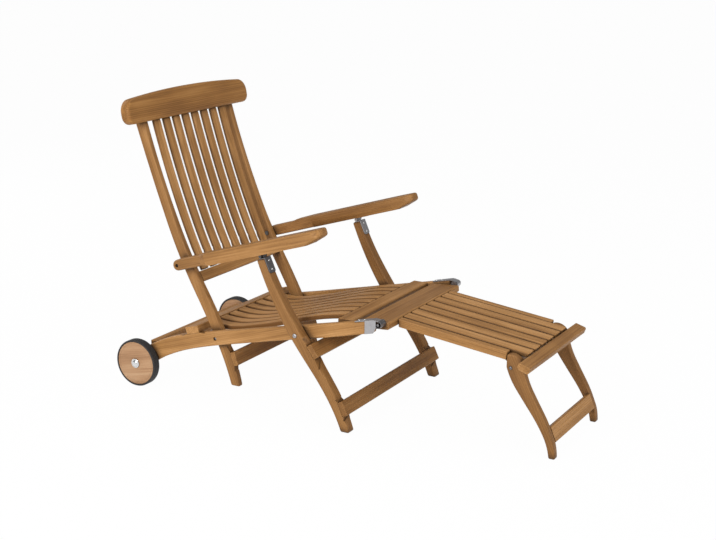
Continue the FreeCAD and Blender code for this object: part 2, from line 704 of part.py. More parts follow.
for side, sign in both_sides():
    body = new_body("arm_" + side)
    body.Placement = FreeCAD.Placement(FreeCAD.Vector(0, 0, arm_pivot.y), tilt_up)
    body.setExpression("Placement.Base.x", "%.6f - Sizes.centre" % arm_pivot.x)
    tail = -arm_tail_radius
    plan = [
        line(flat(tail, sign * arm_tail_inner), flat(shoulder_start - 40, sign * arm_tail_inner)),
        spline([
            flat(shoulder_start - 40, sign * arm_tail_inner),
            flat(shoulder_start + 5, sign * (arm_tail_inner + arm_inner) / 2),
            flat(shoulder_end + 30, sign * arm_inner),
        ]),
        line(flat(shoulder_end + 30, sign * arm_inner), flat(arm_length - tip_round, sign * arm_inner)),
        Part.Arc(flat(arm_length - tip_round, sign * arm_inner),
                 flat(arm_length, sign * (arm_inner + arm_width / 2)),
                 flat(arm_length - tip_round, sign * arm_outer)),
        line(flat(arm_length - tip_round, sign * arm_outer), flat(shoulder_end, sign * arm_outer)),
        spline([
            flat(shoulder_end, sign * arm_outer),
            flat((shoulder_start + shoulder_end) / 2, sign * (arm_outer + tail_outer) / 2),
            flat(shoulder_start, sign * tail_outer),
        ]),
        line(flat(shoulder_start, sign * tail_outer), flat(tail, sign * tail_outer)),
        line(flat(tail, sign * tail_outer), flat(tail, sign * arm_tail_inner)),
    ]
    add_pad(body, add_sketch(body, plan, "XY_Plane"), "2 * Sizes.arm_thickness")
    reach = arm_length + arm_thickness
    frame = polygon([
        flat(-arm_thickness, -2 * arm_thickness),
        flat(reach, -2 * arm_thickness),
        flat(reach, 2 * arm_thickness),
        flat(-arm_thickness, 2 * arm_thickness),
    ])
    radius = arm_tail_radius
    profile = [
        Part.Arc(flat(0, radius), flat(-radius, 0), flat(0, -radius)),
        line(flat(0, -radius), flat(arm_length - tip_rake, arm_bottom)),
        line(flat(arm_length - tip_rake, arm_bottom), flat(arm_length + 1, -1)),
        line(flat(arm_length + 1, -1), flat(arm_length + 1, arm_top)),
        line(flat(arm_length + 1, arm_top), flat(shoulder_start + 14, arm_top)),
        line(flat(shoulder_start + 14, arm_top), flat(shoulder_start, radius)),
        line(flat(shoulder_start, radius), flat(0, radius)),
    ]
    add_cut(body, frame + profile)
    bore(body, flat(0, 0), fit_radius)
    counterbore(body, flat(0, 0), sign * tail_outer, sunk_head_radius + running_gap)
    hinge_at = hinge_local.x
    recess = polygon([
        flat(hinge_at - recess_run, arm_bottom - 1),
        flat(hinge_at - recess_peak, arm_bottom + recess_height),
        flat(hinge_at - knuckle_radius, arm_bottom + recess_height * 0.8),
        flat(hinge_at - knuckle_radius, arm_bottom - 1),
    ])
    add_cut(body, recess, offset=-sign * leg_y, length="Sizes.leg_thickness + 2")
    leaf = new_body("arm_hinge_" + side)
    leaf.Placement = body.Placement
    leaf.setExpression("Placement.Base.x", "%.6f - Sizes.centre" % arm_pivot.x)
    plate = polygon([
        flat(hinge_at + knuckle_radius + knuckle_gap, arm_bottom - plate_thickness),
        flat(hinge_at + leaf_length, arm_bottom - plate_thickness),
        flat(hinge_at + leaf_length, arm_bottom),
        flat(hinge_at + knuckle_radius + knuckle_gap, arm_bottom),
    ])
    add_pad(leaf, add_sketch(leaf, plate, offset=-sign * leg_y), "Sizes.leaf_width")
    for end in (-1, 1):
        place = -sign * leg_y + end * leaf_width / 3
        tab = polygon([
            flat(hinge_at, arm_bottom - plate_thickness),
            flat(hinge_at + knuckle_radius + knuckle_gap, arm_bottom - plate_thickness),
            flat(hinge_at + knuckle_radius + knuckle_gap, arm_bottom),
            flat(hinge_at, arm_bottom),
        ])
        add_pad(leaf, add_sketch(leaf, tab, offset=place), "Sizes.leaf_width / 3 - Sizes.knuckle_gap")
        barrel = [Part.Circle(hinge_local, FreeCAD.Vector(0, 0, 1), knuckle_radius)]
        add_pad(leaf, add_sketch(leaf, barrel, offset=place), "Sizes.leaf_width / 3 - Sizes.knuckle_gap")
    pin = [Part.Circle(hinge_local, FreeCAD.Vector(0, 0, 1), knuckle_radius / 2)]
    add_pad(leaf, add_sketch(leaf, pin, offset=-sign * leg_y), "Sizes.leaf_width - 1")

bolts = []
for side, sign in both_sides():
    bolts += bolt("arm_bolt_" + side, arm_pivot, "Sizes.stile_y - Sizes.stile_thickness / 2",
                  "Sizes.arm_tail_inner + Sizes.arm_tail_width - Sizes.sunk_depth", sign,
                  "Sizes.sunk_head_radius")
    start = "Sizes.stile_y + Sizes.stile_thickness / 2"
    gap = "Sizes.arm_tail_inner - 0.2 - (%s)" % start
    if sign < 0:
        start = "-Sizes.arm_tail_inner + 0.2"
    bolts.append(cross_rod("arm_spacer_" + side, arm_pivot, start, gap, "Sizes.bolt_head_radius * 1.3"))
join_rods("arm_bolts", bolts)

# Front legs, hinged to the arms at the top and bolted to the rails
leg_foot_run = size("leg_foot_run", 169.0)
leg_foot = flat(front_pivot.x + leg_foot_run, 0)
leg_shin_run = size("leg_shin_run", 94.0)
leg_shin_z = size("leg_shin_z", 144.0)
leg_shin = flat(front_pivot.x + leg_shin_run, leg_shin_z)
leg_neck_back = size("leg_neck_back", 92.0)
leg_neck_z = size("leg_neck_z", 427.0)
leg_neck = flat(front_pivot.x - leg_neck_back, leg_neck_z)
leg_top = arm_hinge - across(arm_heading) * (knuckle_radius + knuckle_gap + plate_thickness)
leg = Member([
    (leg_top, leg_depth * 0.76),
    (leg_neck, leg_depth * 0.8),
    (front_pivot, leg_depth),
    (leg_shin, leg_depth * 0.89),
    (leg_foot, leg_depth * 0.72),
], start_cut=arm_slope, end_cut=0)


def on_leg_front(z, offset):
    """A point off the leg's front face at a height, and the tilt of the face there."""
    point, direction = at_height(leg.left, z)
    return point + across(direction) * offset, math.degrees(math.atan2(direction.y, direction.x))


proud = stretcher_thickness / 2 - housing_depth
lower_stretcher_z = size("lower_stretcher_z", 69.0)
lower_middle, lower_tilt = on_leg_front(lower_stretcher_z, proud)
upper_stretcher_z = size("upper_stretcher_z", 226.5)
upper_middle, upper_tilt = on_leg_front(upper_stretcher_z, proud)
lower_outline = board(lower_middle, lower_tilt, stretcher_height, stretcher_thickness, 3)
upper_outline = board(upper_middle, upper_tilt, stretcher_height, stretcher_thickness, 3)
for side, sign in both_sides():
    body = profile_piece("front_leg_" + side, leg.outline(), "Sizes.leg_thickness",
                         "%d * Sizes.leg_y" % sign)
    add_cut(body, lower_outline)
    add_cut(body, upper_outline)
    bore(body, front_pivot, fit_radius)
profile_piece("lower_stretcher", lower_outline, "Sizes.stretcher_length")
profile_piece("upper_stretcher", upper_outline, "Sizes.stretcher_length")

# Hinge leaves that wrap over the leg tops, each with a knuckle between the arm's two
leaves = []
leaf_low, leaf_direction = at_height(leg.left, leg_top.y - leaf_length * 0.8)
leaf_out = across(leaf_direction) * plate_thickness
leaf_corner = leg.start[0]
leaf_back = leg_top - arm_heading * knuckle_radius
leaf_rise = across(arm_heading) * plate_thickness
leaf_outline = polygon([
    leaf_back,
    leaf_corner,
    leaf_low,
    leaf_low + leaf_out,
    leaf_corner + leaf_out + leaf_rise,
    leaf_back + leaf_rise,
])
web_outline = polygon([
    leg_top - arm_heading * knuckle_radius,
    leg_top + arm_heading * knuckle_radius,
    arm_hinge + arm_heading * knuckle_radius,
    arm_hinge - arm_heading * knuckle_radius,
])


def crosswise_solid(edges, middle, width):
    """A solid of one side profile, centred across the chair on a middle distance."""
    wire = Part.Wire(Part.__sortEdges__([edge.toShape() for edge in edges]))
    solid = Part.Face(wire).extrude(FreeCAD.Vector(0, 0, width))
    solid.translate(FreeCAD.Vector(0, 0, -width / 2))
    solid.rotate(FreeCAD.Vector(0, 0, 0), FreeCAD.Vector(1, 0, 0), 90)
    solid.translate(FreeCAD.Vector(-centre, middle, 0))
    return solid


def circle_edges(point, radius):
    return [Part.Circle(point, FreeCAD.Vector(0, 0, 1), radius)]


for side, sign in both_sides():
    middle = sign * leg_y
    leaf = crosswise_solid(leaf_outline, middle, leaf_width)
    knuckle_width = leaf_width / 3 - knuckle_gap
    leaf = leaf.fuse(crosswise_solid(web_outline, middle, knuckle_width))
    leaf = leaf.fuse(crosswise_solid(circle_edges(arm_hinge, knuckle_radius), middle, knuckle_width))
    hole = knuckle_radius / 2 + knuckle_gap / 2
    leaf = leaf.cut(crosswise_solid(circle_edges(arm_hinge, hole), middle, leaf_width))
    leaves.append(leaf)
leaf_pair = doc.addObject("Part::Feature", "leg_hinges")
leaf_pair.Shape = Part.makeCompound(leaves)
leaf_pair.Label = "leg_hinges"
pieces.append(leaf_pair)

# Leg rest: head rail, side rails, slats and end bar
head_outline = board(head_end - head_along * (head_rail_width / 2), head_tilt,
                     head_rail_width, head_rail_thickness, 5)
profile_piece("head_rail", head_outline, "Sizes.between_rails - 2 * Sizes.side_clearance"
              " - 4 * Sizes.plate_thickness")

end_tilt = size("end_tilt", 20.0)
end_along = heading(-end_tilt)
end_top = rest_point(slats_length, 0)
end_middle = end_top + end_along * (end_bar_width / 2) - across(end_along) * (end_bar_thickness / 2)
end_outline = board(end_middle, -end_tilt, end_bar_width, end_bar_thickness, end_bar_rounding)
profile_piece("end_crossbar", end_outline, "2 * Sizes.end_bar_half_length")


def rest_board(length, top, depth, start_cut, end_cut):
    """A board along the leg rest, its two ends cut to stated angles."""
    stations = []
    for run, cut in ((0, start_cut), (length, end_cut)):
        lean = heading(cut)
        middle = rest_point(run, 0) + lean * ((top - depth / 2) / lean.dot(rest_up))
        stations.append((middle, depth))
    return Member(stations, start_cut, end_cut).outline()


slat_outline = rest_board(slats_length, 0, foot_slat_thickness, 90 + head_tilt, 90 - end_tilt)
for i in range(6):
    profile_piece("foot_slat_%d" % (i + 1), slat_outline,
                  "Sizes.foot_slat_width", "%.1f * Sizes.foot_slat_pitch" % (i - 2.5))

foot_rail_end = size("foot_rail_end", 53.0)
foot_rail_outline = rest_board(slats_length - foot_rail_end, -1, foot_rail_depth, 90 + head_tilt, 90 - rest_slope)
for side, sign in both_sides():
    profile_piece("foot_rail_" + side, foot_rail_outline, "Sizes.foot_rail_thickness",
                  "%d * Sizes.foot_rail_y" % sign)

# Bearer under the slats that carries the pivots of the leg rest's legs
bearer_radius = size("bearer_radius", 12.0)
bearer_reach = size("bearer_reach", 41.0)
bearer_top_back = rest_point(slats_length - foot_pivot_back - bearer_reach, -foot_slat_thickness)
bearer_top_front = rest_point(slats_length - foot_pivot_back + bearer_radius, -foot_slat_thickness)
bearer_outline = [
    line(bearer_top_back, bearer_top_front),
    line(bearer_top_front, foot_pivot + flat(bearer_radius, 0)),
    Part.Arc(foot_pivot + flat(bearer_radius, 0), foot_pivot - flat(0, bearer_radius),
             foot_pivot - flat(bearer_radius, 0)),
    line(foot_pivot - flat(bearer_radius, 0), bearer_top_back - rest_up * bearer_radius),
    line(bearer_top_back - rest_up * bearer_radius, bearer_top_back),
]
body = profile_piece("leg_bearer", bearer_outline, "2 * (Sizes.foot_rail_outer - Sizes.foot_rail_thickness)")
bore(body, foot_pivot, bolt_radius)

bolts = []
for side, sign in both_sides():
    start = "Sizes.foot_rail_outer - Sizes.foot_rail_thickness - 20"
    bolts += bolt("foot_bolt_" + side, foot_pivot, start, "Sizes.foot_rail_outer + 0.3", sign)[:2]
join_rods("foot_leg_bolts", bolts)

# Hinge plates on the ends of the head rail, with pins into the eyes of the caps
plates = []
for side, sign in both_sides():
    inner = "(Sizes.between_rails / 2 - Sizes.side_clearance - 2 * Sizes.plate_thickness)"
    ear_start = inner if sign > 0 else "-%s - Sizes.plate_thickness" % inner
    pin_length = "Sizes.rail_outer + Sizes.plate_thickness - %s" % inner
    pin_start = inner if sign > 0 else "-Sizes.rail_outer - Sizes.plate_thickness"
    plates.append(cross_rod("hinge_ear_" + side, rest_hinge, ear_start,
                            "Sizes.plate_thickness", "Sizes.eye_radius - 2"))
    plates.append(cross_rod("hinge_pin_" + side, rest_hinge, pin_start, pin_length,
                            "Sizes.hinge_pin_radius"))
join_rods("rest_hinges", plates)

# Legs of the leg rest: broad rounded heads tapering to slim feet
toe = flat(foot_pivot.x + foot_leg_spread, 0)


def leg_section(run, drop, width):
    """The rear and front points of a leg, at shares of its spread and height."""
    middle = foot_pivot + flat(run * foot_leg_spread, -drop * foot_pivot.y)
    return middle - flat(width / 2, 0), middle + flat(width / 2, 0)


foot_leg_shin = size("foot_leg_shin", 47.0)
shin = leg_section(0.24, 0.19, foot_leg_shin)
foot_leg_ankle = size("foot_leg_ankle", 32.0)
ankle = leg_section(0.71, 0.575, foot_leg_ankle)
sole = leg_section(1, 1, foot_leg_toe)
head_rear_point = foot_pivot - flat(foot_leg_head * 0.36, 0)
head_front_point = foot_pivot + heading(2) * foot_leg_head
rear_edge = spline([head_rear_point, shin[0], ankle[0], sole[0]])
front_edge = spline([head_front_point, shin[1], ankle[1], sole[1]])
head_back_point = foot_pivot + heading(110) * foot_leg_head
foot_leg_outline = [
    rear_edge,
    line(sole[0], sole[1]),
    front_edge,
    Part.Arc(head_front_point, foot_pivot + heading(56) * foot_leg_head, head_back_point),
    line(head_back_point, head_rear_point),
]
foot_stretcher_z = size("foot_stretcher_z", 70.0)
point, direction = at_height(front_edge, foot_stretcher_z)
foot_stretcher_tilt = math.degrees(math.atan2(direction.y, direction.x))
foot_stretcher_middle = point + across(direction) * (stretcher_thickness / 2 - housing_depth * 2)
foot_stretcher_outline = board(foot_stretcher_middle, foot_stretcher_tilt,
                               stretcher_height + 2, stretcher_thickness - 2, 3)
for side, sign in both_sides():
    body = profile_piece("foot_leg_" + side, foot_leg_outline,
                         "Sizes.foot_rail_thickness - Sizes.side_clearance",
                         "%d * (Sizes.foot_rail_y + Sizes.side_clearance / 2)" % sign)
    add_cut(body, foot_stretcher_outline)
    bore(body, foot_pivot, fit_radius)
profile_piece("foot_stretcher", foot_stretcher_outline, "2 * Sizes.foot_rail_outer")

# Check every object and every finished piece before writing anything
doc.recompute()
for item in doc.Objects:
    for state in item.State:
        if state in ("Invalid", "Error"):
            raise RuntimeError(item.Label + " is " + state)
os.makedirs("parts", exist_ok=True)
for piece in pieces:
    shape = piece.Shape
    if shape.isNull() or not shape.isValid():
        raise RuntimeError(piece.Label + " has no valid shape")
for piece in pieces:
    piece.Shape.exportStep("parts/" + piece.Label + ".step")
print(len(pieces), "pieces")
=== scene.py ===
import json
import math
import random

import bmesh
import bpy
from mathutils import Matrix, Vector

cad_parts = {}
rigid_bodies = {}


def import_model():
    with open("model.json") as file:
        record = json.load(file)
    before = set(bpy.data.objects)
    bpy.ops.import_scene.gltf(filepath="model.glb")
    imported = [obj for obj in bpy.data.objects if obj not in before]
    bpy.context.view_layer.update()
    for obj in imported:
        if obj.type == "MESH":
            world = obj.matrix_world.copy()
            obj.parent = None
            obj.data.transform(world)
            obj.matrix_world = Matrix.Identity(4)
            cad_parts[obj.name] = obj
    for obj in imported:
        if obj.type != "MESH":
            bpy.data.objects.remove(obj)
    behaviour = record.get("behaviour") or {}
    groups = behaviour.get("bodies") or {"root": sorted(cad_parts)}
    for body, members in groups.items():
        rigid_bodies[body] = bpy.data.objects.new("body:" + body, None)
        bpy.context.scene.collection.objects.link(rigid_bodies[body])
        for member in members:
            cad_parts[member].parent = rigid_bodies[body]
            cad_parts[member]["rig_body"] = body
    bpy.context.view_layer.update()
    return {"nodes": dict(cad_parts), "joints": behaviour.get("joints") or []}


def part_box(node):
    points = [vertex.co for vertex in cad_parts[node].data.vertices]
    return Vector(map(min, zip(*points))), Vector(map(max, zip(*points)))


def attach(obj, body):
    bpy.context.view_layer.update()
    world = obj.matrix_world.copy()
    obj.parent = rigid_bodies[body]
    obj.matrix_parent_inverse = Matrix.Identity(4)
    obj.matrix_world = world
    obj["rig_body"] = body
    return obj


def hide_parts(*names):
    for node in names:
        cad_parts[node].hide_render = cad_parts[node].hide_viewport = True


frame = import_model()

# Steamer deck chair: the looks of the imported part, in metres.
# +X runs from the back to the leg rest, +Y is the sitter's left, +Z is up.

nodes = frame["nodes"]
joints = {joint["name"]: Vector(joint["pos_m"]) for joint in frame["joints"]}
sides = (("left", 1), ("right", -1))
mm = 0.001


def middle(node):
    # the centre of a CAD node's box
    lowest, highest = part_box(node)
    return (Vector(lowest) + Vector(highest)) / 2


def addNode(tree, kind, **values):
    # a node with the settings given, and the inputs given where it has no such setting
    node = tree.nodes.new(kind)
    for name, value in values.items():
        if hasattr(node, name):
            setattr(node, name, value)
        else:
            node.inputs[name].default_value = value
    return node


def feed(tree, value, socket):
    # links another socket to this one, or sets it to a plain value
    if isinstance(value, bpy.types.NodeSocket):
        tree.links.new(value, socket)
    else:
        socket.default_value = value


def addMaths(tree, operation, *values):
    node = addNode(tree, "ShaderNodeMath", operation=operation)
    for value, socket in zip(values, node.inputs):
        feed(tree, value, socket)
    return node.outputs["Value"]


def addMix(tree, factor, first, second):
    # the colour between two others
    node = addNode(tree, "ShaderNodeMix", data_type="RGBA", clamp_factor=True)
    feed(tree, factor, node.inputs["Factor"])
    feed(tree, first, node.inputs[6])
    feed(tree, second, node.inputs[7])
    return node.outputs[2]


def addNoise(tree, place, scale, detail, roughness):
    # noise with one scale all over, or with a scale for each direction
    if isinstance(scale, tuple):
        mapping = addNode(tree, "ShaderNodeMapping", Scale=scale)
        tree.links.new(place, mapping.inputs["Vector"])
        place, scale = mapping.outputs["Vector"], 1.0
    node = addNode(tree, "ShaderNodeTexNoise", Scale=scale, Detail=detail, Roughness=roughness)
    tree.links.new(place, node.inputs["Vector"])
    return node.outputs["Fac"]


def addBump(tree, shader, height, distance, strength):
    node = addNode(tree, "ShaderNodeBump", Strength=strength, Distance=distance)
    tree.links.new(height, node.inputs["Height"])
    tree.links.new(node.outputs["Normal"], shader.inputs["Normal"])


def newGroup(name, inputs):
    # a node group with named inputs, and the outputs that every surface here takes
    tree = bpy.data.node_groups.new(name, "ShaderNodeTree")
    for socket, kind, value in inputs:
        made = tree.interface.new_socket(socket, in_out="INPUT", socket_type="NodeSocket" + kind)
        if value is not None:
            made.default_value = value
    for socket, kind in (("Color", "Color"), ("Roughness", "Float"), ("Height", "Float")):
        tree.interface.new_socket(socket, in_out="OUTPUT", socket_type="NodeSocket" + kind)
    return tree, tree.nodes.new("NodeGroupInput"), tree.nodes.new("NodeGroupOutput")


sawnWood = {
    # noise: scale along, across and through the grain, detail and roughness
    "wander": ((1.6, 14, 14), 3, 0.5),
    # the same, and the band of the noise that shows
    "broad": ((0.9, 38, 38), 3, 0.6, 0.34, 0.66),
    "narrow": ((5, 260, 260), 4, 0.65, 0.36, 0.68),
    "blotch": ((5, 9, 9), 2, 0.5, 0.3, 0.7),
    "pores": ((55, 1500, 1500), 2, 0.6, 0.60, 0.72),
    "rubbed": ((9, 30, 30), 3, 0.6, 0.35, 0.6),
    # growth rings: how far off the heart lies, how far they wander, and radians per metre
    "heart": 0.045, "wanderBy": 0.030, "ringTurns": 1150.0,
    # how much each layer darkens the wood, and where the mid and the dark colour come in
    "broadShare": 0.42, "narrowShare": 0.30, "blotchShare": 0.30, "ringShare": 0.35,
    "midFrom": (0.05, 0.75), "darkFrom": (0.55, 1.25), "darkMost": 0.7,
    # rubbed corners, and the painted shade in gaps and joints
    "cornerRadius": 0.003, "cornerTurn": (1.0, 0.94),
    "gapReach": 0.026, "gapShade": (0.97, 0.50), "gapShadeColour": (0.060, 0.028, 0.010, 1),
    # the surface
    "rough": 0.46, "roughBy": 0.12, "grainDepth": -0.35, "poreDepth": -0.8, "ringDepth": -0.25,
    "bump": (0.0004, 0.35), "specular": 0.22,
}


def woodGroup():
    # sawn hardwood: rings round a far-off heart, streaks along the grain and short dark pores
    tree, start, end = newGroup("sawnWood", (
        ("Place", "Vector", None), ("Tone And Shade", "Float", None), ("Light", "Color", (0.5, 0.3, 0.15, 1)),
        ("Mid", "Color", (0.4, 0.2, 0.1, 1)), ("Dark", "Color", (0.2, 0.1, 0.05, 1)),
        ("Ring Strength", "Float", 0.5), ("Pore Strength", "Float", 0.5), ("Painted Gap Shade", "Float", 0.8),
        ("Edge Wear", "Float", 0.3)))
    given, link, wood = start.outputs, tree.links.new, sawnWood

    def maths(operation, *values):
        return addMaths(tree, operation, *values)

    def spread(value, fromLow, fromHigh):
        # carries a range of values smoothly to 0 to 1
        node = addNode(tree, "ShaderNodeMapRange", interpolation_type="SMOOTHSTEP")
        link(value, node.inputs["Value"])
        node.inputs["From Min"].default_value = fromLow
        node.inputs["From Max"].default_value = fromHigh
        return node.outputs["Result"]

    def layer(name):
        scale, detail, roughness, fromLow, fromHigh = wood[name]
        return spread(addNoise(tree, given["Place"], scale, detail, roughness), fromLow, fromHigh)

    # growth rings: distance from the heart of the tree, wandering a little
    split = addNode(tree, "ShaderNodeSeparateXYZ")
    link(given["Place"], split.inputs["Vector"])
    wander = addNoise(tree, given["Place"], *wood["wander"])
    offset = maths("MULTIPLY_ADD", wander, wood["wanderBy"], -wood["wanderBy"] / 2)
    across = maths("ADD", split.outputs["Y"], offset)
    through = maths("ADD", split.outputs["Z"], wood["heart"])
    squares = maths("ADD", maths("MULTIPLY", across, across), maths("MULTIPLY", through, through))
    waves = maths("SINE", maths("MULTIPLY", maths("SQRT", squares), wood["ringTurns"]))
    rings = maths("MULTIPLY", spread(waves, -1.0, 1.0), given["Ring Strength"])
    # broad and narrow streaks along the grain, blotches and pores
    narrow, pores = layer("narrow"), layer("pores")
    amount = maths("MULTIPLY", layer("broad"), wood["broadShare"])
    amount = maths("MULTIPLY_ADD", narrow, wood["narrowShare"], amount)
    amount = maths("MULTIPLY_ADD", layer("blotch"), wood["blotchShare"], amount)
    amount = maths("MULTIPLY_ADD", rings, wood["ringShare"], amount)
    # painted shade: the tone darkens the wood here and once more towards the dark colour below; it is a
    # board's own tone together with shade painted on parts that stand in shadow and on the slats' side walls
    amount = maths("ADD", amount, given["Tone And Shade"])
    colour = addMix(tree, spread(amount, *wood["midFrom"]), given["Light"], given["Mid"])
    deep = maths("MULTIPLY", spread(amount, *wood["darkFrom"]), wood["darkMost"])
    colour = addMix(tree, deep, colour, given["Dark"])
    colour = addMix(tree, maths("MULTIPLY", pores, given["Pore Strength"]), colour, given["Dark"])
    colour = addMix(tree, given["Tone And Shade"], colour, given["Dark"])
    # rubbed outer corners show paler wood, and ambient occlusion paints shade into the gaps and joints,
    # towards a near-black brown
    corner = addNode(tree, "ShaderNodeBevel", samples=4, Radius=wood["cornerRadius"])
    surface = addNode(tree, "ShaderNodeNewGeometry")
    turn = addNode(tree, "ShaderNodeVectorMath", operation="DOT_PRODUCT")
    link(corner.outputs["Normal"], turn.inputs[0])
    link(surface.outputs["Normal"], turn.inputs[1])
    rubbed = maths("MULTIPLY", spread(turn.outputs["Value"], *wood["cornerTurn"]), layer("rubbed"))
    colour = addMix(tree, maths("MULTIPLY", rubbed, given["Edge Wear"]), colour, given["Light"])
    gapOcclusion = addNode(tree, "ShaderNodeAmbientOcclusion", samples=6, Distance=wood["gapReach"])
    shadeInGaps = maths("MULTIPLY", spread(gapOcclusion.outputs["AO"], *wood["gapShade"]), given["Painted Gap Shade"])
    link(addMix(tree, shadeInGaps, colour, wood["gapShadeColour"]), end.inputs["Color"])
    link(maths("MULTIPLY_ADD", narrow, wood["roughBy"], wood["rough"]), end.inputs["Roughness"])
    height = maths("MULTIPLY_ADD", narrow, wood["grainDepth"], maths("MULTIPLY", pores, wood["poreDepth"]))
    link(maths("MULTIPLY_ADD", rings, wood["ringDepth"], height), end.inputs["Height"])
    return tree


# scale, detail and roughness of the cloudy wear and of the scratches, which run along X
rolledMetal = {"cloud": (90.0, 4.0, 0.6), "scratches": ((120, 1800, 1800), 3.0, 0.7), "roughBy": 0.22,
               "bump": (0.00008, 0.3)}


def metalGroup():
    # rolled sheet metal: fine lengthwise scratches and cloudy wear
    tree, start, end = newGroup("wornMetal", (
        ("Place", "Vector", None), ("Clean", "Color", (0.6, 0.6, 0.6, 1)),
        ("Worn", "Color", (0.4, 0.4, 0.4, 1)), ("Least Roughness", "Float", 0.25)))
    given = start.outputs
    cloud = addNoise(tree, given["Place"], *rolledMetal["cloud"])
    scratches = addNoise(tree, given["Place"], *rolledMetal["scratches"])
    rough = addMaths(tree, "MULTIPLY_ADD", cloud, rolledMetal["roughBy"], given["Least Roughness"])
    tree.links.new(addMix(tree, cloud, given["Clean"], given["Worn"]), end.inputs["Color"])
    tree.links.new(rough, end.inputs["Roughness"])
    tree.links.new(scratches, end.inputs["Height"])
    return tree


woodEffect = woodGroup()
metalEffect = metalGroup()


def newMaterial(name):
    material = bpy.data.materials.new(name)
    material.use_nodes = True
    return material, material.node_tree, material.node_tree.nodes["Principled BSDF"]


def effectMaterial(name, group, look, bump):
    # a material with its look set on a shared effect, and the effect led into its shader
    material, tree, shader = newMaterial(name)
    effect = addNode(tree, "ShaderNodeGroup", node_tree=group)
    for socket, value in look.items():
        effect.inputs[socket].default_value = (*value, 1) if isinstance(value, tuple) else value
    tree.links.new(effect.outputs["Color"], shader.inputs["Base Color"])
    tree.links.new(effect.outputs["Roughness"], shader.inputs["Roughness"])
    addBump(tree, shader, effect.outputs["Height"], *bump)
    return material, tree, shader, effect


def woodMaterial(name, look):
    material, tree, shader, effect = effectMaterial(name, woodEffect, look, sawnWood["bump"])
    place = addNode(tree, "ShaderNodeAttribute", attribute_name="grain")
    toneAndShade = addNode(tree, "ShaderNodeAttribute", attribute_name="toneAndShade")
    tree.links.new(place.outputs["Vector"], effect.inputs["Place"])
    tree.links.new(toneAndShade.outputs["Fac"], effect.inputs["Tone And Shade"])
    shader.inputs["Specular IOR Level"].default_value = sawnWood["specular"]
    return material


def metalMaterial(name, look):
    material, tree, shader, effect = effectMaterial(name, metalEffect, look, rolledMetal["bump"])
    place = addNode(tree, "ShaderNodeTexCoord")
    tree.links.new(place.outputs["Object"], effect.inputs["Place"])
    shader.inputs["Metallic"].default_value = 1.0
    return material


def rubberMaterial(name, look):
    # dark rubber with a film of dust and a fine grit
    material, tree, shader = newMaterial(name)
    place = addNode(tree, "ShaderNodeTexCoord").outputs["Object"]
    dust = addNoise(tree, place, *look["dust"])
    tree.links.new(addMix(tree, dust, look["clean"], look["dusty"]), shader.inputs["Base Color"])
    shader.inputs["Roughness"].default_value = look["rough"]
    addBump(tree, shader, addNoise(tree, place, *look["grit"]), *look["bump"])
    return material


teak = woodMaterial("teak", {
    "Light": (0.50, 0.264, 0.100), "Mid": (0.355, 0.174, 0.054), "Dark": (0.15, 0.064, 0.017),
    "Ring Strength": 0.5, "Pore Strength": 0.5, "Painted Gap Shade": 0.85, "Edge Wear": 0.35})
teakCrest = woodMaterial("teakCrest", {
    "Light": (0.43, 0.216, 0.066), "Mid": (0.31, 0.142, 0.037), "Dark": (0.12, 0.048, 0.012),
    "Ring Strength": 0.7, "Pore Strength": 0.5, "Painted Gap Shade": 0.7, "Edge Wear": 0.3})
teakPale = woodMaterial("teakPale", {
    "Light": (0.50, 0.315, 0.18), "Mid": (0.40, 0.225, 0.118), "Dark": (0.20, 0.10, 0.045),
    "Ring Strength": 0.35, "Pore Strength": 0.25, "Painted Gap Shade": 0.5, "Edge Wear": 0.2})
steel = metalMaterial("steel", {
    "Clean": (0.50, 0.49, 0.50), "Worn": (0.34, 0.33, 0.34), "Least Roughness": 0.28})
# darker steel: for aged parts, and as painted shade on the near rail cap's roll
oldAndShadedSteel = metalMaterial("oldAndShadedSteel", {
    "Clean": (0.30, 0.29, 0.30), "Worn": (0.12, 0.11, 0.11), "Least Roughness": 0.22})
darkSteel = metalMaterial("darkSteel", {
    "Clean": (0.16, 0.15, 0.15), "Worn": (0.07, 0.065, 0.06), "Least Roughness": 0.35})
chrome = metalMaterial("chrome", {
    "Clean": (0.78, 0.78, 0.78), "Worn": (0.62, 0.62, 0.62), "Least Roughness": 0.06})
rubber = rubberMaterial("rubber", {
    "clean": (0.008, 0.0075, 0.008, 1), "dusty": (0.022, 0.020, 0.021, 1), "rough": 0.66,
    "dust": (60.0, 5.0, 0.65), "grit": (900.0, 2.0, 0.5), "bump": (0.0002, 0.4)})
print("materials ready")

# for every mesh: where shading turns sharp and what counts as flat, in degrees, and what is one point
meshing = {"sharp": 38, "flat": 0.3, "merge": 0.00001, "spinMerge": 0.000002, "cut": 0.000001}


def newPiece(name, shape, material, body, *replaced):
    # turns a finished bmesh into a smooth-shaded piece that rides on a body
    mesh = bpy.data.meshes.new(name)
    for face in shape.faces:
        face.smooth = True
    for edge in shape.edges:
        if len(edge.link_faces) == 2 and edge.calc_face_angle(0) > math.radians(meshing["sharp"]):
            edge.smooth = False
    shape.to_mesh(mesh)
    shape.free()
    mesh.materials.append(material)
    piece = bpy.data.objects.new(name, mesh)
    bpy.context.scene.collection.objects.link(piece)
    normals = piece.modifiers.new("faceWeights", "WEIGHTED_NORMAL")
    normals.keep_sharp = True
    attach(piece, body)
    if replaced:
        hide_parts(*replaced)
    return piece


def repaint(piece, material, chosen):
    # gives a second material to the faces whose centres are chosen
    piece.data.materials.append(material)
    for face in piece.data.polygons:
        face.material_index = 1 if chosen(face.center) else 0


def dissolveFlats(shape):
    bmesh.ops.dissolve_limit(shape, angle_limit=math.radians(meshing["flat"]), verts=shape.verts,
                             edges=shape.edges)


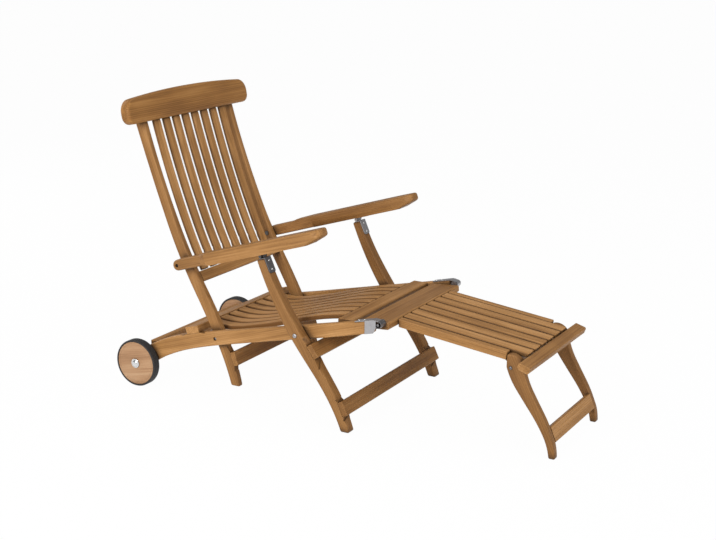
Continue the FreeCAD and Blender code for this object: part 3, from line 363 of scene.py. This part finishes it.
def cadShape(node):
    # a clean bmesh of a CAD node: its triangles joined up and its flats made whole
    shape = bmesh.new()
    shape.from_mesh(nodes[node].data)
    bmesh.ops.remove_doubles(shape, verts=shape.verts, dist=meshing["merge"])
    dissolveFlats(shape)
    return shape


def edgesOver(shape, angle):
    # the edges that turn by more than an angle in degrees
    return [edge for edge in shape.edges if edge.calc_face_angle(0) > math.radians(angle)]


def roundEdges(shape, edges, radius, steps, clamp=False):
    bmesh.ops.bevel(shape, geom=edges, offset=radius, offset_type="OFFSET", segments=steps, profile=0.5,
                    affect="EDGES", clamp_overlap=clamp, material=-1)


def spun(profile, steps):
    # a shape spun round the Z axis from (radius, height) points; on the axis it closes by itself
    shape = bmesh.new()
    points = [shape.verts.new((radius, 0, height)) for radius, height in profile]
    edges = [shape.edges.new(pair) for pair in zip(points, points[1:])]
    if profile[0][0] > 0 and profile[-1][0] > 0:
        edges.append(shape.edges.new((points[-1], points[0])))
    bmesh.ops.spin(shape, geom=points + edges, cent=(0, 0, 0), axis=(0, 0, 1), angle=math.tau,
                   steps=steps, use_merge=True, use_duplicate=False)
    bmesh.ops.remove_doubles(shape, verts=shape.verts, dist=meshing["spinMerge"])
    bmesh.ops.recalc_face_normals(shape, faces=shape.faces)
    return shape


def aimed(shape, place, direction):
    # turns a spun shape's Z axis to a direction and moves it to a place
    turn = Vector(direction).to_track_quat("Z", "Y").to_matrix().to_4x4()
    shape.transform(Matrix.Translation(place) @ turn)
    return shape


def joined(shapes):
    # several bmeshes as one
    whole = bmesh.new()
    for shape in shapes:
        mesh = bpy.data.meshes.new("part")
        shape.to_mesh(mesh)
        shape.free()
        whole.from_mesh(mesh)
        bpy.data.meshes.remove(mesh)
    return whole


# how far the grain is shifted at random along, across and through a board, and how much a face
# looks sideways where the painted shade on a board's side walls begins
plank = {"shift": ((-3, 3), (-0.05, 0.05), (-0.02, 0.03)), "wallFrom": 0.35, "wallOver": 0.5}


def layGrain(piece, along, seed, toneAndShade, paintedWallShade=0.0):
    # stores where each point lies in its own plank: along, across and through the grain, and its tone with
    # painted shade, which grows on faces that look sideways into the gaps
    mesh = piece.data
    along = Vector(along).normalized()
    across = Vector((0, 1, 0)) if abs(along.y) < 0.9 else Vector((1, 0, 0))
    through = along.cross(across).normalized()
    across = through.cross(along).normalized()
    chance = random.Random(seed)
    shift = Vector([chance.uniform(least, most) for least, most in plank["shift"]])
    mesh.attributes.new("grain", "FLOAT_VECTOR", "POINT")
    mesh.attributes.new("toneAndShade", "FLOAT", "POINT")
    centre = sum((vertex.co for vertex in mesh.vertices), Vector()) / len(mesh.vertices)
    places, tonesAndShade = [], []
    for vertex in mesh.vertices:
        place = vertex.co - centre
        places.extend(Vector((place.dot(along), place.dot(across), place.dot(through))) + shift)
        # painted shade: faces that look sideways, the slats' walls in the gaps, are darkened
        sideways = min(max((abs(vertex.normal.y) - plank["wallFrom"]) / plank["wallOver"], 0), 1)
        tonesAndShade.append(toneAndShade + paintedWallShade * sideways)
    mesh.attributes["grain"].data.foreach_set("vector", places)
    mesh.attributes["toneAndShade"].data.foreach_set("value", tonesAndShade)


# edges that turn by this many degrees are eased, in so many steps, but not near a pivot
easing = {"least": 28, "steps": 3, "pivotRim": 8 * mm}


def around(node, reach, forward=0.0, up=0.0):
    # a round place in the side view, set from a CAD node's centre: x, z and radius
    centre = middle(node)
    return centre.x + forward, centre.z + up, reach


def nearAny(point, places):
    return any(math.hypot(point.x - x, point.z - z) < reach for x, z, reach in places)


def easeEdges(shape, radius, keptSharp, least):
    # rounds over the outer corners, apart from those near the places that are kept sharp
    corners = []
    for edge in shape.edges:
        if len(edge.link_faces) != 2 or not edge.is_convex:
            continue
        if edge.calc_face_angle(0) < math.radians(least):
            continue
        first, last = (vertex.co for vertex in edge.verts)
        if not any(nearAny(point, keptSharp) for point in (first, last, (first + last) / 2)):
            corners.append(edge)
    roundEdges(shape, corners, radius, easing["steps"])


backSlats = {"widen": 1.15, "pitch": 0.984, "topForward": 8 * mm, "lowBack": 4 * mm}


def fitBackSlat(shape, node):
    # draws a back slat's face out a little and stands its head forward, under the crest
    lowest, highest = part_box(node)
    centre = (lowest.y + highest.y) / 2
    for vertex in shape.verts:
        share = (vertex.co.z - lowest.z) / (highest.z - lowest.z)
        vertex.co.x += share * backSlats["topForward"] - (1 - share) * backSlats["lowBack"]
        vertex.co.y = centre * backSlats["pitch"] + (vertex.co.y - centre) * backSlats["widen"]


armNose = {"behindTip": 30.5 * mm, "middle": 280 * mm, "power": 3.0, "slope": 0.305, "least": 1 * mm}


def squareNose(shape, node):
    # makes an arm's half-round nose blunter, with rounder corners
    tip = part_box(node)[1][0] - armNose["behindTip"]
    across = armNose["middle"] * (1 if node.endswith("left") else -1)
    power = armNose["power"]
    for vertex in shape.verts:
        run, side = vertex.co.x - tip, vertex.co.y - across
        reach = math.hypot(run, side)
        if run <= 0 or reach < armNose["least"]:
            continue
        fuller = ((run / reach) ** power + abs(side / reach) ** power) ** (-1 / power)
        vertex.co.x = tip + run * fuller
        vertex.co.y = across + side * fuller
        vertex.co.z += run * (fuller - 1) * armNose["slope"]


# the leg's straight front edge, as x and z, the points that are drawn onto it, and how far they are merged
footLeg = {"upper": (0.7052, 0.0907), "lower": (0.7228, 0.0482), "over": 0.5 * mm, "under": 1 * mm,
           "reach": 6 * mm, "merge": 5 * mm}


def fitFootLeg(shape):
    # carries the leg's front edge straight on past the stretcher
    (upperX, upperZ), (lowerX, lowerZ) = footLeg["upper"], footLeg["lower"]
    moved = []
    for vertex in shape.verts:
        if lowerZ - footLeg["under"] < vertex.co.z < upperZ + footLeg["over"]:
            front = upperX + (lowerX - upperX) * (upperZ - vertex.co.z) / (upperZ - lowerZ)
            if abs(vertex.co.x - front) < footLeg["reach"]:
                vertex.co.x = front
                moved.append(vertex)
    bmesh.ops.remove_doubles(shape, verts=moved, dist=footLeg["merge"])
    dissolveFlats(shape)


footStretcher = {"half": 152.6 * mm, "back": 9 * mm, "lower": 7.5 * mm}


def fitFootStretcher(shape):
    # sets the stretcher between the legs, just behind their front edges
    widest = max(vertex.co.y for vertex in shape.verts)
    for vertex in shape.verts:
        vertex.co.x -= footStretcher["back"]
        vertex.co.y *= footStretcher["half"] / widest
        vertex.co.z -= footStretcher["lower"]


endBar = {"forward": 4 * mm, "lower": 6 * mm}


def fitEndBar(shape, centre):
    # moves all but the upper rear edge of the leg rest's end bar forward, and sets the bar lower
    fore = [vertex for vertex in shape.verts if vertex.co.x > centre.x or vertex.co.z < centre.z]
    bmesh.ops.translate(shape, verts=fore, vec=(endBar["forward"], 0, 0))
    bmesh.ops.translate(shape, verts=shape.verts, vec=(0, 0, -endBar["lower"]))


# each kind of board: which way its grain runs, how round its edges are and how dark each one is.
# The darkness is the board's own tone with painted shade: the legs and stretchers low down and under
# the seat are darker for the shadow they stand in, and the slats get painted shade on their side walls.
# One tone is a lone board, two are left and right, and more are numbered. A board's number in this
# order seeds its grain, so the order stays.
crossways = (0, 1, 0)
boards = {
    "side_rail": {"along": (0.95, 0, 0.3), "round": 4.5 * mm, "tonesAndShade": (0.0, -0.06),
                  "sharp": [around("rear_crossbar", 30 * mm)]},
    "stile": {"along": (-0.35, 0, 0.93), "round": 4.5 * mm, "tonesAndShade": (0.24, 0.24),
              "sharp": [around("rear_leg_stretcher", 25 * mm)]},
    "front_leg": {"along": (-0.5, 0, 0.86), "round": 5 * mm, "tonesAndShade": (0.38, 0.36),
                  "sharp": [around("lower_stretcher", 25 * mm), around("upper_stretcher", 25 * mm)]},
    "foot_leg": {"along": (-0.45, 0, 0.89), "round": 4 * mm, "tonesAndShade": (0.42, 0.42)},
    "rear_crossbar": {"along": crossways, "round": 1.6 * mm, "tonesAndShade": (-0.02,)},
    "axle_beam": {"along": crossways, "round": 1.6 * mm, "tonesAndShade": (0.08,)},
    "front_crossbar": {"along": crossways, "round": 1.6 * mm, "tonesAndShade": (0.16,)},
    "lower_back_rail": {"along": crossways, "round": 1.6 * mm, "tonesAndShade": (0.12,)},
    "rear_leg_stretcher": {"along": crossways, "round": 1.6 * mm, "tonesAndShade": (0.2,)},
    "upper_stretcher": {"along": crossways, "round": 1.6 * mm, "tonesAndShade": (0.3,)},
    "lower_stretcher": {"along": crossways, "round": 1.6 * mm, "tonesAndShade": (0.38,)},
    "head_rail": {"along": crossways, "round": 1.6 * mm, "tonesAndShade": (0.18,)},
    "end_crossbar": {"along": crossways, "round": 1.6 * mm, "tonesAndShade": (0.18,)},
    "leg_bearer": {"along": crossways, "round": 1.5 * mm, "tonesAndShade": (0.12,)},
    "foot_stretcher": {"along": crossways, "round": 1.6 * mm, "tonesAndShade": (0.06,)},
    "foot_rail": {"along": (1, 0, -0.12), "round": 3.5 * mm, "tonesAndShade": (0.05, -0.02)},
    "arm": {"along": (0.956, 0, 0.292), "round": 7 * mm, "tonesAndShade": (0.3, 0.16), "least": 48,
            "sharp": [around("arm_hinge_left", 58 * mm, -0.045, -0.012)]},
    "seat_slat": {"along": (0.97, 0, 0.22), "round": 5.0 * mm, "paintedWallShade": 0.75,
                  "tonesAndShade": (-0.02, 0.04, -0.05, 0.02, 0.06, 0.0, -0.04, 0.03)},
    "back_slat": {"along": (-0.36, 0, 0.93), "round": 3.2 * mm, "paintedWallShade": 0.2,
                  "tonesAndShade": (0.0, 0.07, -0.04, 0.03, -0.02, 0.08, 0.0, 0.05)},
    "foot_slat": {"along": (1, 0, -0.12), "round": 4.0 * mm, "paintedWallShade": 0.15,
                  "tonesAndShade": (0.02, -0.04, 0.05, -0.02, 0.03, -0.05)},
}


def boardNames(kind, count):
    if count == 1:
        return [kind]
    if count == 2:
        return [kind + "_left", kind + "_right"]
    return [kind + "_" + str(number + 1) for number in range(count)]


pivotRims = [(place.x, place.z, easing["pivotRim"]) for place in joints.values()]
boardCount = 0
for kind, board in boards.items():
    for node, toneAndShade in zip(boardNames(kind, len(board["tonesAndShade"])), board["tonesAndShade"]):
        shape = cadShape(node)
        if kind == "arm":
            squareNose(shape, node)
        elif kind == "back_slat":
            fitBackSlat(shape, node)
        elif kind == "foot_leg":
            fitFootLeg(shape)
        elif kind == "foot_stretcher":
            fitFootStretcher(shape)
        elif kind == "end_crossbar":
            fitEndBar(shape, middle(node))
        keptSharp = pivotRims + board.get("sharp", [])
        easeEdges(shape, board["round"], keptSharp, board.get("least", easing["least"]))
        piece = newPiece(node + "Board", shape, teak, nodes[node]["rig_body"], node)
        layGrain(piece, board["along"], boardCount, toneAndShade, board.get("paintedWallShade", 0.0))
        boardCount += 1
print("boards ready:", boardCount)

# the crest: bowed above, flat below, with full rounded ends
crest = {"half": 314 * mm, "high": 89.5 * mm, "drop": 15 * mm, "upper": 36 * mm, "lower": 26 * mm,
         "thick": 34 * mm, "forward": 8 * mm, "lean": 11.3, "round": 9 * mm, "roundFrom": 60,
         "roundSteps": 5, "columns": 56, "merge": 0.0001, "toneAndShade": 0.08, "seed": 77}


def crestCorner(reach, corner):
    # how far a rounded end's edge stands off its arc's centre, so far along the crest
    past = max(reach - (crest["half"] - corner), 0)
    return math.sqrt(max(corner ** 2 - past ** 2, 0))


shape = bmesh.new()
bmesh.ops.create_grid(shape, x_segments=crest["columns"], y_segments=1, size=1)
for vertex in shape.verts:
    share = math.sin(vertex.co.x * math.pi / 2)
    reach = abs(share) * crest["half"]
    if vertex.co.y > 0:
        rise = crest["high"] - crest["drop"] * share ** 2 - crest["upper"] + crestCorner(reach, crest["upper"])
    else:
        rise = crest["lower"] - crestCorner(reach, crest["lower"])
    vertex.co = Vector((crest["thick"] / 2, share * crest["half"], rise))
bmesh.ops.remove_doubles(shape, verts=shape.verts, dist=crest["merge"])
pushed = bmesh.ops.extrude_face_region(shape, geom=list(shape.faces), use_keep_orig=True)["geom"]
rearPoints = [item for item in pushed if isinstance(item, bmesh.types.BMVert)]
bmesh.ops.translate(shape, verts=rearPoints, vec=(-crest["thick"], 0, 0))
bmesh.ops.recalc_face_normals(shape, faces=shape.faces)
roundEdges(shape, edgesOver(shape, crest["roundFrom"]), crest["round"], crest["roundSteps"])
lean = math.radians(crest["lean"])
crestLow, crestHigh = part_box("crest_rail")
foot = Vector(((crestLow.x + crestHigh.x) / 2, 0, crestLow.z))
lift = crest["thick"] / 2 * math.sin(lean)
shift = crest["high"] / 2 * math.sin(lean) + crest["forward"]
shape.transform(Matrix.Translation(foot + Vector((shift, 0, lift))) @ Matrix.Rotation(-lean, 4, "Y"))
piece = newPiece("crestRail", shape, teakCrest, "back", "crest_rail")
layGrain(piece, crossways, crest["seed"], crest["toneAndShade"])
print("crest ready")

corner45 = 0.3  # where a rounded corner's middle point stands, as a share of its radius
wheel = {"across": 0.278, "radius": 70.4 * mm, "half": 13 * mm, "bore": 6.2 * mm, "ease": 2.2 * mm,
         "groove": (6 * mm, 5 * mm, 4 * mm), "grooveDeep": 0.7 * mm, "steps": 96,
         "grain": (0.97, 0, 0.22), "toneAndShade": 0.0, "seed": 91}
# the tread's grooves are points of (depth, distance from the middle)
tyre = {"radius": 76 * mm, "half": 14 * mm, "round": 3.2 * mm, "lip": (0.8 * mm, 0.6 * mm),
        "tread": ((0, 6.2 * mm), (0.9 * mm, 5.6 * mm), (0.9 * mm, 4.6 * mm), (0, 4 * mm))}


def wheelShape(profile, hub):
    # spins one half of a wheel's profile and its mirror image round the hub
    whole = profile + [(radius, -height) for radius, height in reversed(profile)]
    return aimed(spun(whole, wheel["steps"]), hub, crossways)


for side, sign in sides:
    spin = joints[side + "_wheel_spin"]
    hub = Vector((spin.x, sign * wheel["across"], spin.z))
    rim, ease, half = wheel["radius"], wheel["ease"], wheel["half"]
    profile = [(wheel["bore"], -half)]
    for inset, deep in zip(wheel["groove"], (0, wheel["grooveDeep"], 0)):
        profile.append((rim - ease - inset, -half + deep))
    profile += [(rim - ease, -half), (rim - corner45 * ease, -half + corner45 * ease), (rim, -half + ease)]
    piece = newPiece("wheelDisc" + side.title(), wheelShape(profile, hub), teakPale, side + "_wheel",
                     "wheel_disc_" + side)
    layGrain(piece, wheel["grain"], wheel["seed"] + sign, wheel["toneAndShade"])
    outer, curve, half = tyre["radius"], tyre["round"], tyre["half"]
    lipOut, lipDeep = tyre["lip"]
    profile = [(rim, -half + lipDeep), (rim + lipOut, -half), (outer - curve, -half),
               (outer - corner45 * curve, -half + corner45 * curve), (outer, -half + curve)]
    profile += [(outer - deep, -height) for deep, height in tyre["tread"]]
    piece = newPiece("tyre" + side.title(), wheelShape(profile, hub), rubber, side + "_wheel", "tyre_" + side)

hubCap = {"shaft": 6 * mm, "start": 292.6 * mm, "plate": 15 * mm, "thick": 1.2 * mm, "ease": 0.4 * mm,
          "rim": 0.5 * mm, "foot": 0.4 * mm, "dome": 11.5 * mm, "lift": 0.3 * mm, "rise": 4.6 * mm,
          "domeSteps": 8, "steps": 48, "oldInside": 0.1 * mm}
start, plate, dome, ease = hubCap["start"], hubCap["plate"], hubCap["dome"], hubCap["ease"]
front = start + hubCap["thick"]
profile = [(hubCap["shaft"], start), (plate - ease, start), (plate, start + ease), (plate, front - ease),
           (plate - hubCap["rim"], front), (dome + hubCap["foot"], front)]
for step in range(hubCap["domeSteps"] + 1):
    turn = math.radians(step * 90 / hubCap["domeSteps"])
    height = front + hubCap["lift"] + hubCap["rise"] * math.sin(turn)
    profile.append((dome * math.cos(turn) if step < hubCap["domeSteps"] else 0, height))
profile = [(radius, -height) for radius, height in reversed(profile)] + profile
axleCentre = Vector((joints["left_wheel_spin"].x, 0, joints["left_wheel_spin"].z))
shape = aimed(spun(profile, hubCap["steps"]), axleCentre, crossways)
piece = newPiece("axleRod", shape, chrome, "seat", "axle")
repaint(piece, oldAndShadedSteel, lambda centre: abs(centre.y) < start - hubCap["oldInside"])
print("wheels ready")

# a domed head with a small drive recess, from its rim to its middle: shares of its radius and rise
headCurve = ((1, 0), (1, 0.3), (0.9, 0.62), (0.68, 0.88), (0.36, 1), (0.30, 0.55), (0, 0.5))
# a bolt runs from inner to outer, measured from the middle of the chair, and a washer is two such
# places and a radius
boltParts = {"shank": 4 * mm, "steps": 32, "nutSides": 6, "nutRadius": 7.5 * mm, "nutEased": 6.5 * mm,
             "nutDeep": 3 * mm, "nutEase": 2.4 * mm}
bolts = {
    "leg": {"pivot": "front_leg_hinge", "inner": 0.2360, "outer": 0.2983, "head": 6.6 * mm, "rise": 2.9 * mm,
            "nut": True, "washer": (0.2601, 0.2629, 12 * mm)},
    "rail": {"pivot": "back_hinge", "inner": 0.2136, "outer": 0.2540, "head": 5.4 * mm, "rise": 2.6 * mm,
             "nut": True},
    "arm": {"pivot": "{side}_arm_hinge", "inner": 0.2139, "outer": 0.2760, "head": 5.4 * mm, "rise": 2.4 * mm,
            "nut": True, "washer": (0.2355, 0.2379, 10.4 * mm)},
    "foot": {"pivot": "leg_rest_leg_hinge", "inner": 0.1320, "outer": 0.1748, "head": 5 * mm, "rise": 2.6 * mm,
             "nut": False},
}


def domedHead(radius, rise, seat=0.0):
    return [(share * radius, seat + up * rise) for share, up in headCurve]


def boltsOf(kind):
    # one kind of bolt on both sides: shank and head, nut and washer
    bolt, shank, made = bolts[kind], boltParts["shank"], []
    inner, outer = bolt["inner"], bolt["outer"]
    profiles = [([(0, inner), (shank, inner), (shank, outer)] + domedHead(bolt["head"], bolt["rise"], outer),
                 boltParts["steps"])]
    if bolt["nut"]:
        radius, far = boltParts["nutRadius"], inner - boltParts["nutDeep"]
        profiles.append(([(0, far), (boltParts["nutEased"], far), (radius, inner - boltParts["nutEase"]),
                          (radius, inner), (0, inner)], boltParts["nutSides"]))
    if "washer" in bolt:
        low, high, radius = bolt["washer"]
        profiles.append(([(shank, low), (radius, low), (radius, high), (shank, high)], boltParts["steps"]))
    for side, sign in sides:
        pivot = joints[bolt["pivot"].format(side=side)]
        for profile, steps in profiles:
            made.append(aimed(spun(profile, steps), Vector((pivot.x, 0, pivot.z)), (0, sign, 0)))
    return made


def fitting(name, shapes, material, body, *replaced):
    piece = newPiece(name, joined(shapes), material, body, *replaced)
    return piece


fitting("legPivotBolts", boltsOf("leg") + boltsOf("rail"), steel, "seat", "pivot_bolts")
fitting("armPivotBolts", boltsOf("arm"), darkSteel, "back", "arm_bolts")
fitting("footPivotBolts", boltsOf("foot"), oldAndShadedSteel, "leg_rest", "foot_leg_bolts")

screwHead = {"deep": 1 * mm, "rise": 1.3 * mm, "steps": 20}


def screw(place, direction, radius):
    profile = [(0, -screwHead["deep"]), (radius, -screwHead["deep"])] + domedHead(radius, screwHead["rise"])
    return aimed(spun(profile, screwHead["steps"]), place, direction)


# the hinge plates: all have small eased edges, and those of the front legs also have screws and
# round tips; what counts as facing a way is a cosine
plateEdges = {"from": 50, "round": 0.35 * mm, "steps": 2}
legPlate = {"facing": (0.88, 0, 0.47), "faceWithin": 0.75, "screws": 2, "screwSpread": 1.15,
            "screwRadius": 3.4 * mm, "tipUnder": 4 * mm, "tipUpTo": 14 * mm, "tipWithin": 0.8,
            "tipRound": 6 * mm, "tipSteps": 5}
plates = {
    "leg_hinges": {"name": "LegHingesPlate", "body": "front_legs", "material": steel},
    "arm_hinge_left": {"name": "ArmHingeLeftPlate", "body": "left_arm", "material": steel},
    "arm_hinge_right": {"name": "ArmHingeRightPlate", "body": "right_arm", "material": darkSteel},
    "rest_hinges": {"name": "RestHingesPlate", "body": "leg_rest", "material": oldAndShadedSteel},
}


def plateScrews(shape):
    # a row of screws along the broadest face on each side that looks out of the legs
    made = []
    facing = Vector(legPlate["facing"])
    for sign in (1, -1):
        outward = [face for face in shape.faces if face.normal.dot(facing) > legPlate["faceWithin"]
                   and face.calc_center_median().y * sign > 0]
        face = max(outward, key=lambda item: item.calc_area())
        normal = face.normal.copy()
        run = normal.cross(Vector(crossways)).normalized()
        reaches = [vertex.co.dot(run) for vertex in face.verts]
        centre = face.calc_center_median()
        centre += run * ((min(reaches) + max(reaches)) / 2 - centre.dot(run))
        length = max(reaches) - min(reaches)
        for number in range(legPlate["screws"]):
            share = (number + 0.5) / legPlate["screws"] - 0.5
            place = centre + run * share * length * legPlate["screwSpread"]
            made.append(screw(place, normal, legPlate["screwRadius"]))
    return made


def roundTips(shape):
    # rounds the corners at the plates' lower ends, where short edges run through the sheet
    facing = Vector(legPlate["facing"])
    upTo = min(vertex.co.z for vertex in shape.verts) + legPlate["tipUpTo"]
    tips = [edge for edge in shape.edges if edge.calc_length() < legPlate["tipUnder"]
            and max(vertex.co.z for vertex in edge.verts) < upTo
            and abs((edge.verts[1].co - edge.verts[0].co).normalized().dot(facing)) > legPlate["tipWithin"]]
    roundEdges(shape, tips, legPlate["tipRound"], legPlate["tipSteps"], True)


for node, plate in plates.items():
    shape = cadShape(node)
    if node == "leg_hinges":
        screws = plateScrews(shape)
        roundTips(shape)
    roundEdges(shape, edgesOver(shape, plateEdges["from"]), plateEdges["round"], plateEdges["steps"], True)
    piece = fitting(plate["name"], [shape], plate["material"], plate["body"], node)
    if node == "leg_hinges":
        repaint(piece, oldAndShadedSteel, lambda centre: centre.y < 0)
        fitting("legHingeScrews", screws, chrome, plate["body"])

# a rail's steel cap: places along X, then the strap, the roll round the pin in degrees, and the cheek
cap = {"strapBack": 0.136246, "cheekBack": 0.170246, "nose": 0.196246, "cheekEnd": 0.2065, "near": 0.0004,
       "rail": 0.248, "half": 12 * mm, "plate": 1.8 * mm, "topSlack": 0.0001,
       "eye": 11 * mm, "rollFrom": 92, "rollTurn": 250, "rollSteps": 26,
       "cheekInside": 0.26005, "easeFrom": 50, "ease": 0.5 * mm, "easeSteps": 2, "oldFrom": 1 * mm,
       "screws": (0.1445, 0.1625), "screwAim": (-0.2, 0, 0.98), "screwRadius": 3.6 * mm}
restHinge = joints["leg_rest_hinge"]


def topAt(node, x):
    # the height of a CAD node's upper face at a place along its length
    return max(vertex.co.z for vertex in nodes[node].data.vertices if abs(vertex.co.x - x) < cap["near"])


def rolledStrap(node, sign):
    # a strap along the rail's end that rolls round the leg rest's pin
    strap = bmesh.new()
    backTop = topAt(node, cap["strapBack"])
    ends = [strap.verts.new((cap["strapBack"], sign * cap["rail"] + across * cap["half"], backTop))
            for across in (-1, 1)]
    edge = strap.edges.new(ends)
    pin, turn = Vector((restHinge.x, 0, restHinge.z)), math.radians(cap["rollFrom"])
    rollStart = pin + Vector((math.cos(turn), 0, math.sin(turn))) * cap["eye"]
    stops = [(x, topAt(node, x)) for x in (cap["cheekBack"], cap["nose"])] + [(rollStart.x, rollStart.z)]
    for x, z in stops:
        pushed = bmesh.ops.extrude_edge_only(strap, edges=[edge])["geom"]
        moved = [item for item in pushed if isinstance(item, bmesh.types.BMVert)]
        step = Vector((x, 0, z)) - Vector((moved[0].co.x, 0, moved[0].co.z))
        bmesh.ops.translate(strap, verts=moved, vec=step)
        edge = next(item for item in pushed if isinstance(item, bmesh.types.BMEdge))
    bmesh.ops.spin(strap, geom=[edge, *edge.verts], cent=pin, axis=crossways,
                   angle=math.radians(cap["rollTurn"]), steps=cap["rollSteps"], use_merge=False)
    bmesh.ops.remove_doubles(strap, verts=strap.verts, dist=meshing["merge"])
    bmesh.ops.recalc_face_normals(strap, faces=strap.faces)
    first = min(strap.faces, key=lambda face: face.calc_center_median().x)
    if first.normal.z < 0:  # the wall grows down from the upper side
        bmesh.ops.reverse_faces(strap, faces=strap.faces)
    bmesh.ops.solidify(strap, geom=list(strap.faces), thickness=cap["plate"])
    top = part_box(node)[1].z
    over = max(vertex.co.z for vertex in strap.verts)
    if over > top + cap["topSlack"]:
        bmesh.ops.translate(strap, verts=strap.verts, vec=(0, 0, top - over))
    return strap


def cheekPlate(node, sign):
    # the CAD cap's outer cheek alone, cut off at its inside and in front of the roll
    cheek = cadShape(node)
    inside = ((0, sign * cap["cheekInside"], 0), (0, -sign, 0))
    end = ((cap["cheekEnd"], 0, 0), (1, 0, 0))
    for place, normal in (inside, end):
        whole = list(cheek.verts) + list(cheek.edges) + list(cheek.faces)
        bmesh.ops.bisect_plane(cheek, geom=whole, dist=meshing["cut"], plane_co=place, plane_no=normal,
                               clear_outer=True)
        bmesh.ops.holes_fill(cheek, edges=[edge for edge in cheek.edges if edge.is_boundary], sides=0)
    bmesh.ops.recalc_face_normals(cheek, faces=cheek.faces)
    roundEdges(cheek, edgesOver(cheek, cap["easeFrom"]), cap["ease"], cap["easeSteps"], True)
    return cheek


for side, sign in sides:
    node = "rail_cap_" + side
    shapes = [rolledStrap(node, sign), cheekPlate(node, sign)]
    piece = fitting("railCap" + side.title(), shapes, steel, "seat", node)
    # painted shade: on the right, the near side, the roll round the pin takes the darker steel for the shade
    # it lies in
    if side == "right":
        repaint(piece, oldAndShadedSteel, lambda centre: centre.x > cap["cheekEnd"] + cap["oldFrom"])
    screws = []
    for x in cap["screws"]:
        rise = topAt(node, cap["strapBack"])
        length = cap["cheekBack"] - cap["strapBack"]
        rise += (topAt(node, cap["cheekBack"]) - rise) * (x - cap["strapBack"]) / length
        screws.append(screw(Vector((x, sign * cap["rail"], rise)), cap["screwAim"], cap["screwRadius"]))
    fitting("railCapScrews" + side.title(), screws, chrome, "seat")
print("fittings ready")

studio = {"floorHalf": 60.0, "floorColour": (0.8, 0.8, 0.8, 1), "floorRough": 0.9, "floorWhite": 0.975,
          "sky": 0.34}
lamps = {
    "key": {"power": 165.0, "size": 2.4, "place": (-0.4, -4.4, 2.3), "target": (0, 0, 0.4)},
    "fill": {"power": 78.0, "size": 2.5, "place": (4.0, -1.0, 1.9), "target": (0, 0, 0.4)},
    "back": {"power": 60.0, "size": 2.5, "place": (-4.4, 0.4, 1.7), "target": (0, 0, 0.4)},
    "top": {"power": 34.0, "size": 3.0, "place": (0.2, 0.4, 3.6), "target": (0, 0, 0.3)},
}


def floorMaterial(name):
    # a pale surface that takes the chair's shadow, and looks white to the camera and in the metal
    material, tree, shader = newMaterial(name)
    shader.inputs["Base Color"].default_value = studio["floorColour"]
    shader.inputs["Roughness"].default_value = studio["floorRough"]
    glow = addNode(tree, "ShaderNodeEmission", Strength=1.0, Color=(1, 1, 1, 1))
    path = addNode(tree, "ShaderNodeLightPath")
    seen = addMaths(tree, "MAXIMUM", path.outputs["Is Camera Ray"], path.outputs["Is Glossy Ray"])
    mix = addNode(tree, "ShaderNodeMixShader")
    tree.links.new(addMaths(tree, "MULTIPLY", seen, studio["floorWhite"]), mix.inputs["Fac"])
    tree.links.new(shader.outputs["BSDF"], mix.inputs[1])
    tree.links.new(glow.outputs["Emission"], mix.inputs[2])
    tree.links.new(mix.outputs["Shader"], tree.nodes["Material Output"].inputs["Surface"])
    return material


floorShape = bmesh.new()
bmesh.ops.create_grid(floorShape, x_segments=1, y_segments=1, size=studio["floorHalf"])
floorMesh = bpy.data.meshes.new("floor")
floorShape.to_mesh(floorMesh)
floorShape.free()
floorMesh.materials.append(floorMaterial("floorWhite"))
floor = bpy.data.objects.new("floor", floorMesh)
bpy.context.scene.collection.objects.link(floor)

# the sky lights the chair at a plain level, and is white where the camera sees it
world = bpy.data.worlds.new("studio")
world.use_nodes = True
bpy.context.scene.world = world
sky = world.node_tree.nodes["Background"]
sky.inputs["Color"].default_value = (1, 1, 1, 1)
path = addNode(world.node_tree, "ShaderNodeLightPath")
seen = addNode(world.node_tree, "ShaderNodeMapRange")
world.node_tree.links.new(path.outputs["Is Camera Ray"], seen.inputs["Value"])
seen.inputs["To Min"].default_value = studio["sky"]
seen.inputs["To Max"].default_value = 1.0
world.node_tree.links.new(seen.outputs["Result"], sky.inputs["Strength"])

for name, lamp in lamps.items():
    light = bpy.data.lights.new(name, "AREA")
    light.energy = lamp["power"]
    light.size = lamp["size"]
    holder = bpy.data.objects.new(name, light)
    holder.location = lamp["place"]
    aim = Vector(lamp["target"]) - Vector(lamp["place"])
    holder.rotation_euler = aim.to_track_quat("-Z", "Y").to_euler()
    bpy.context.scene.collection.objects.link(holder)

view = {"place": (1.97325, -3.431, 1.483), "turn": 29.94, "down": 15.21, "roll": 0.20, "lens": 67.07,
        "sensor": 36}
lens = bpy.data.cameras.new("camera")
lens.lens = view["lens"]
lens.sensor_width = view["sensor"]
camera = bpy.data.objects.new("camera", lens)
heading = Matrix.Rotation(math.radians(view["turn"]), 4, "Z")
tilt = Matrix.Rotation(math.radians(90 - view["down"]), 4, "X")
roll = Matrix.Rotation(math.radians(view["roll"]), 4, "Z")
camera.matrix_world = Matrix.Translation(view["place"]) @ (heading @ tilt) @ roll
bpy.context.scene.collection.objects.link(camera)
bpy.context.scene.camera = camera
bpy.context.scene.view_settings.view_transform = "Standard"
print("studio ready")
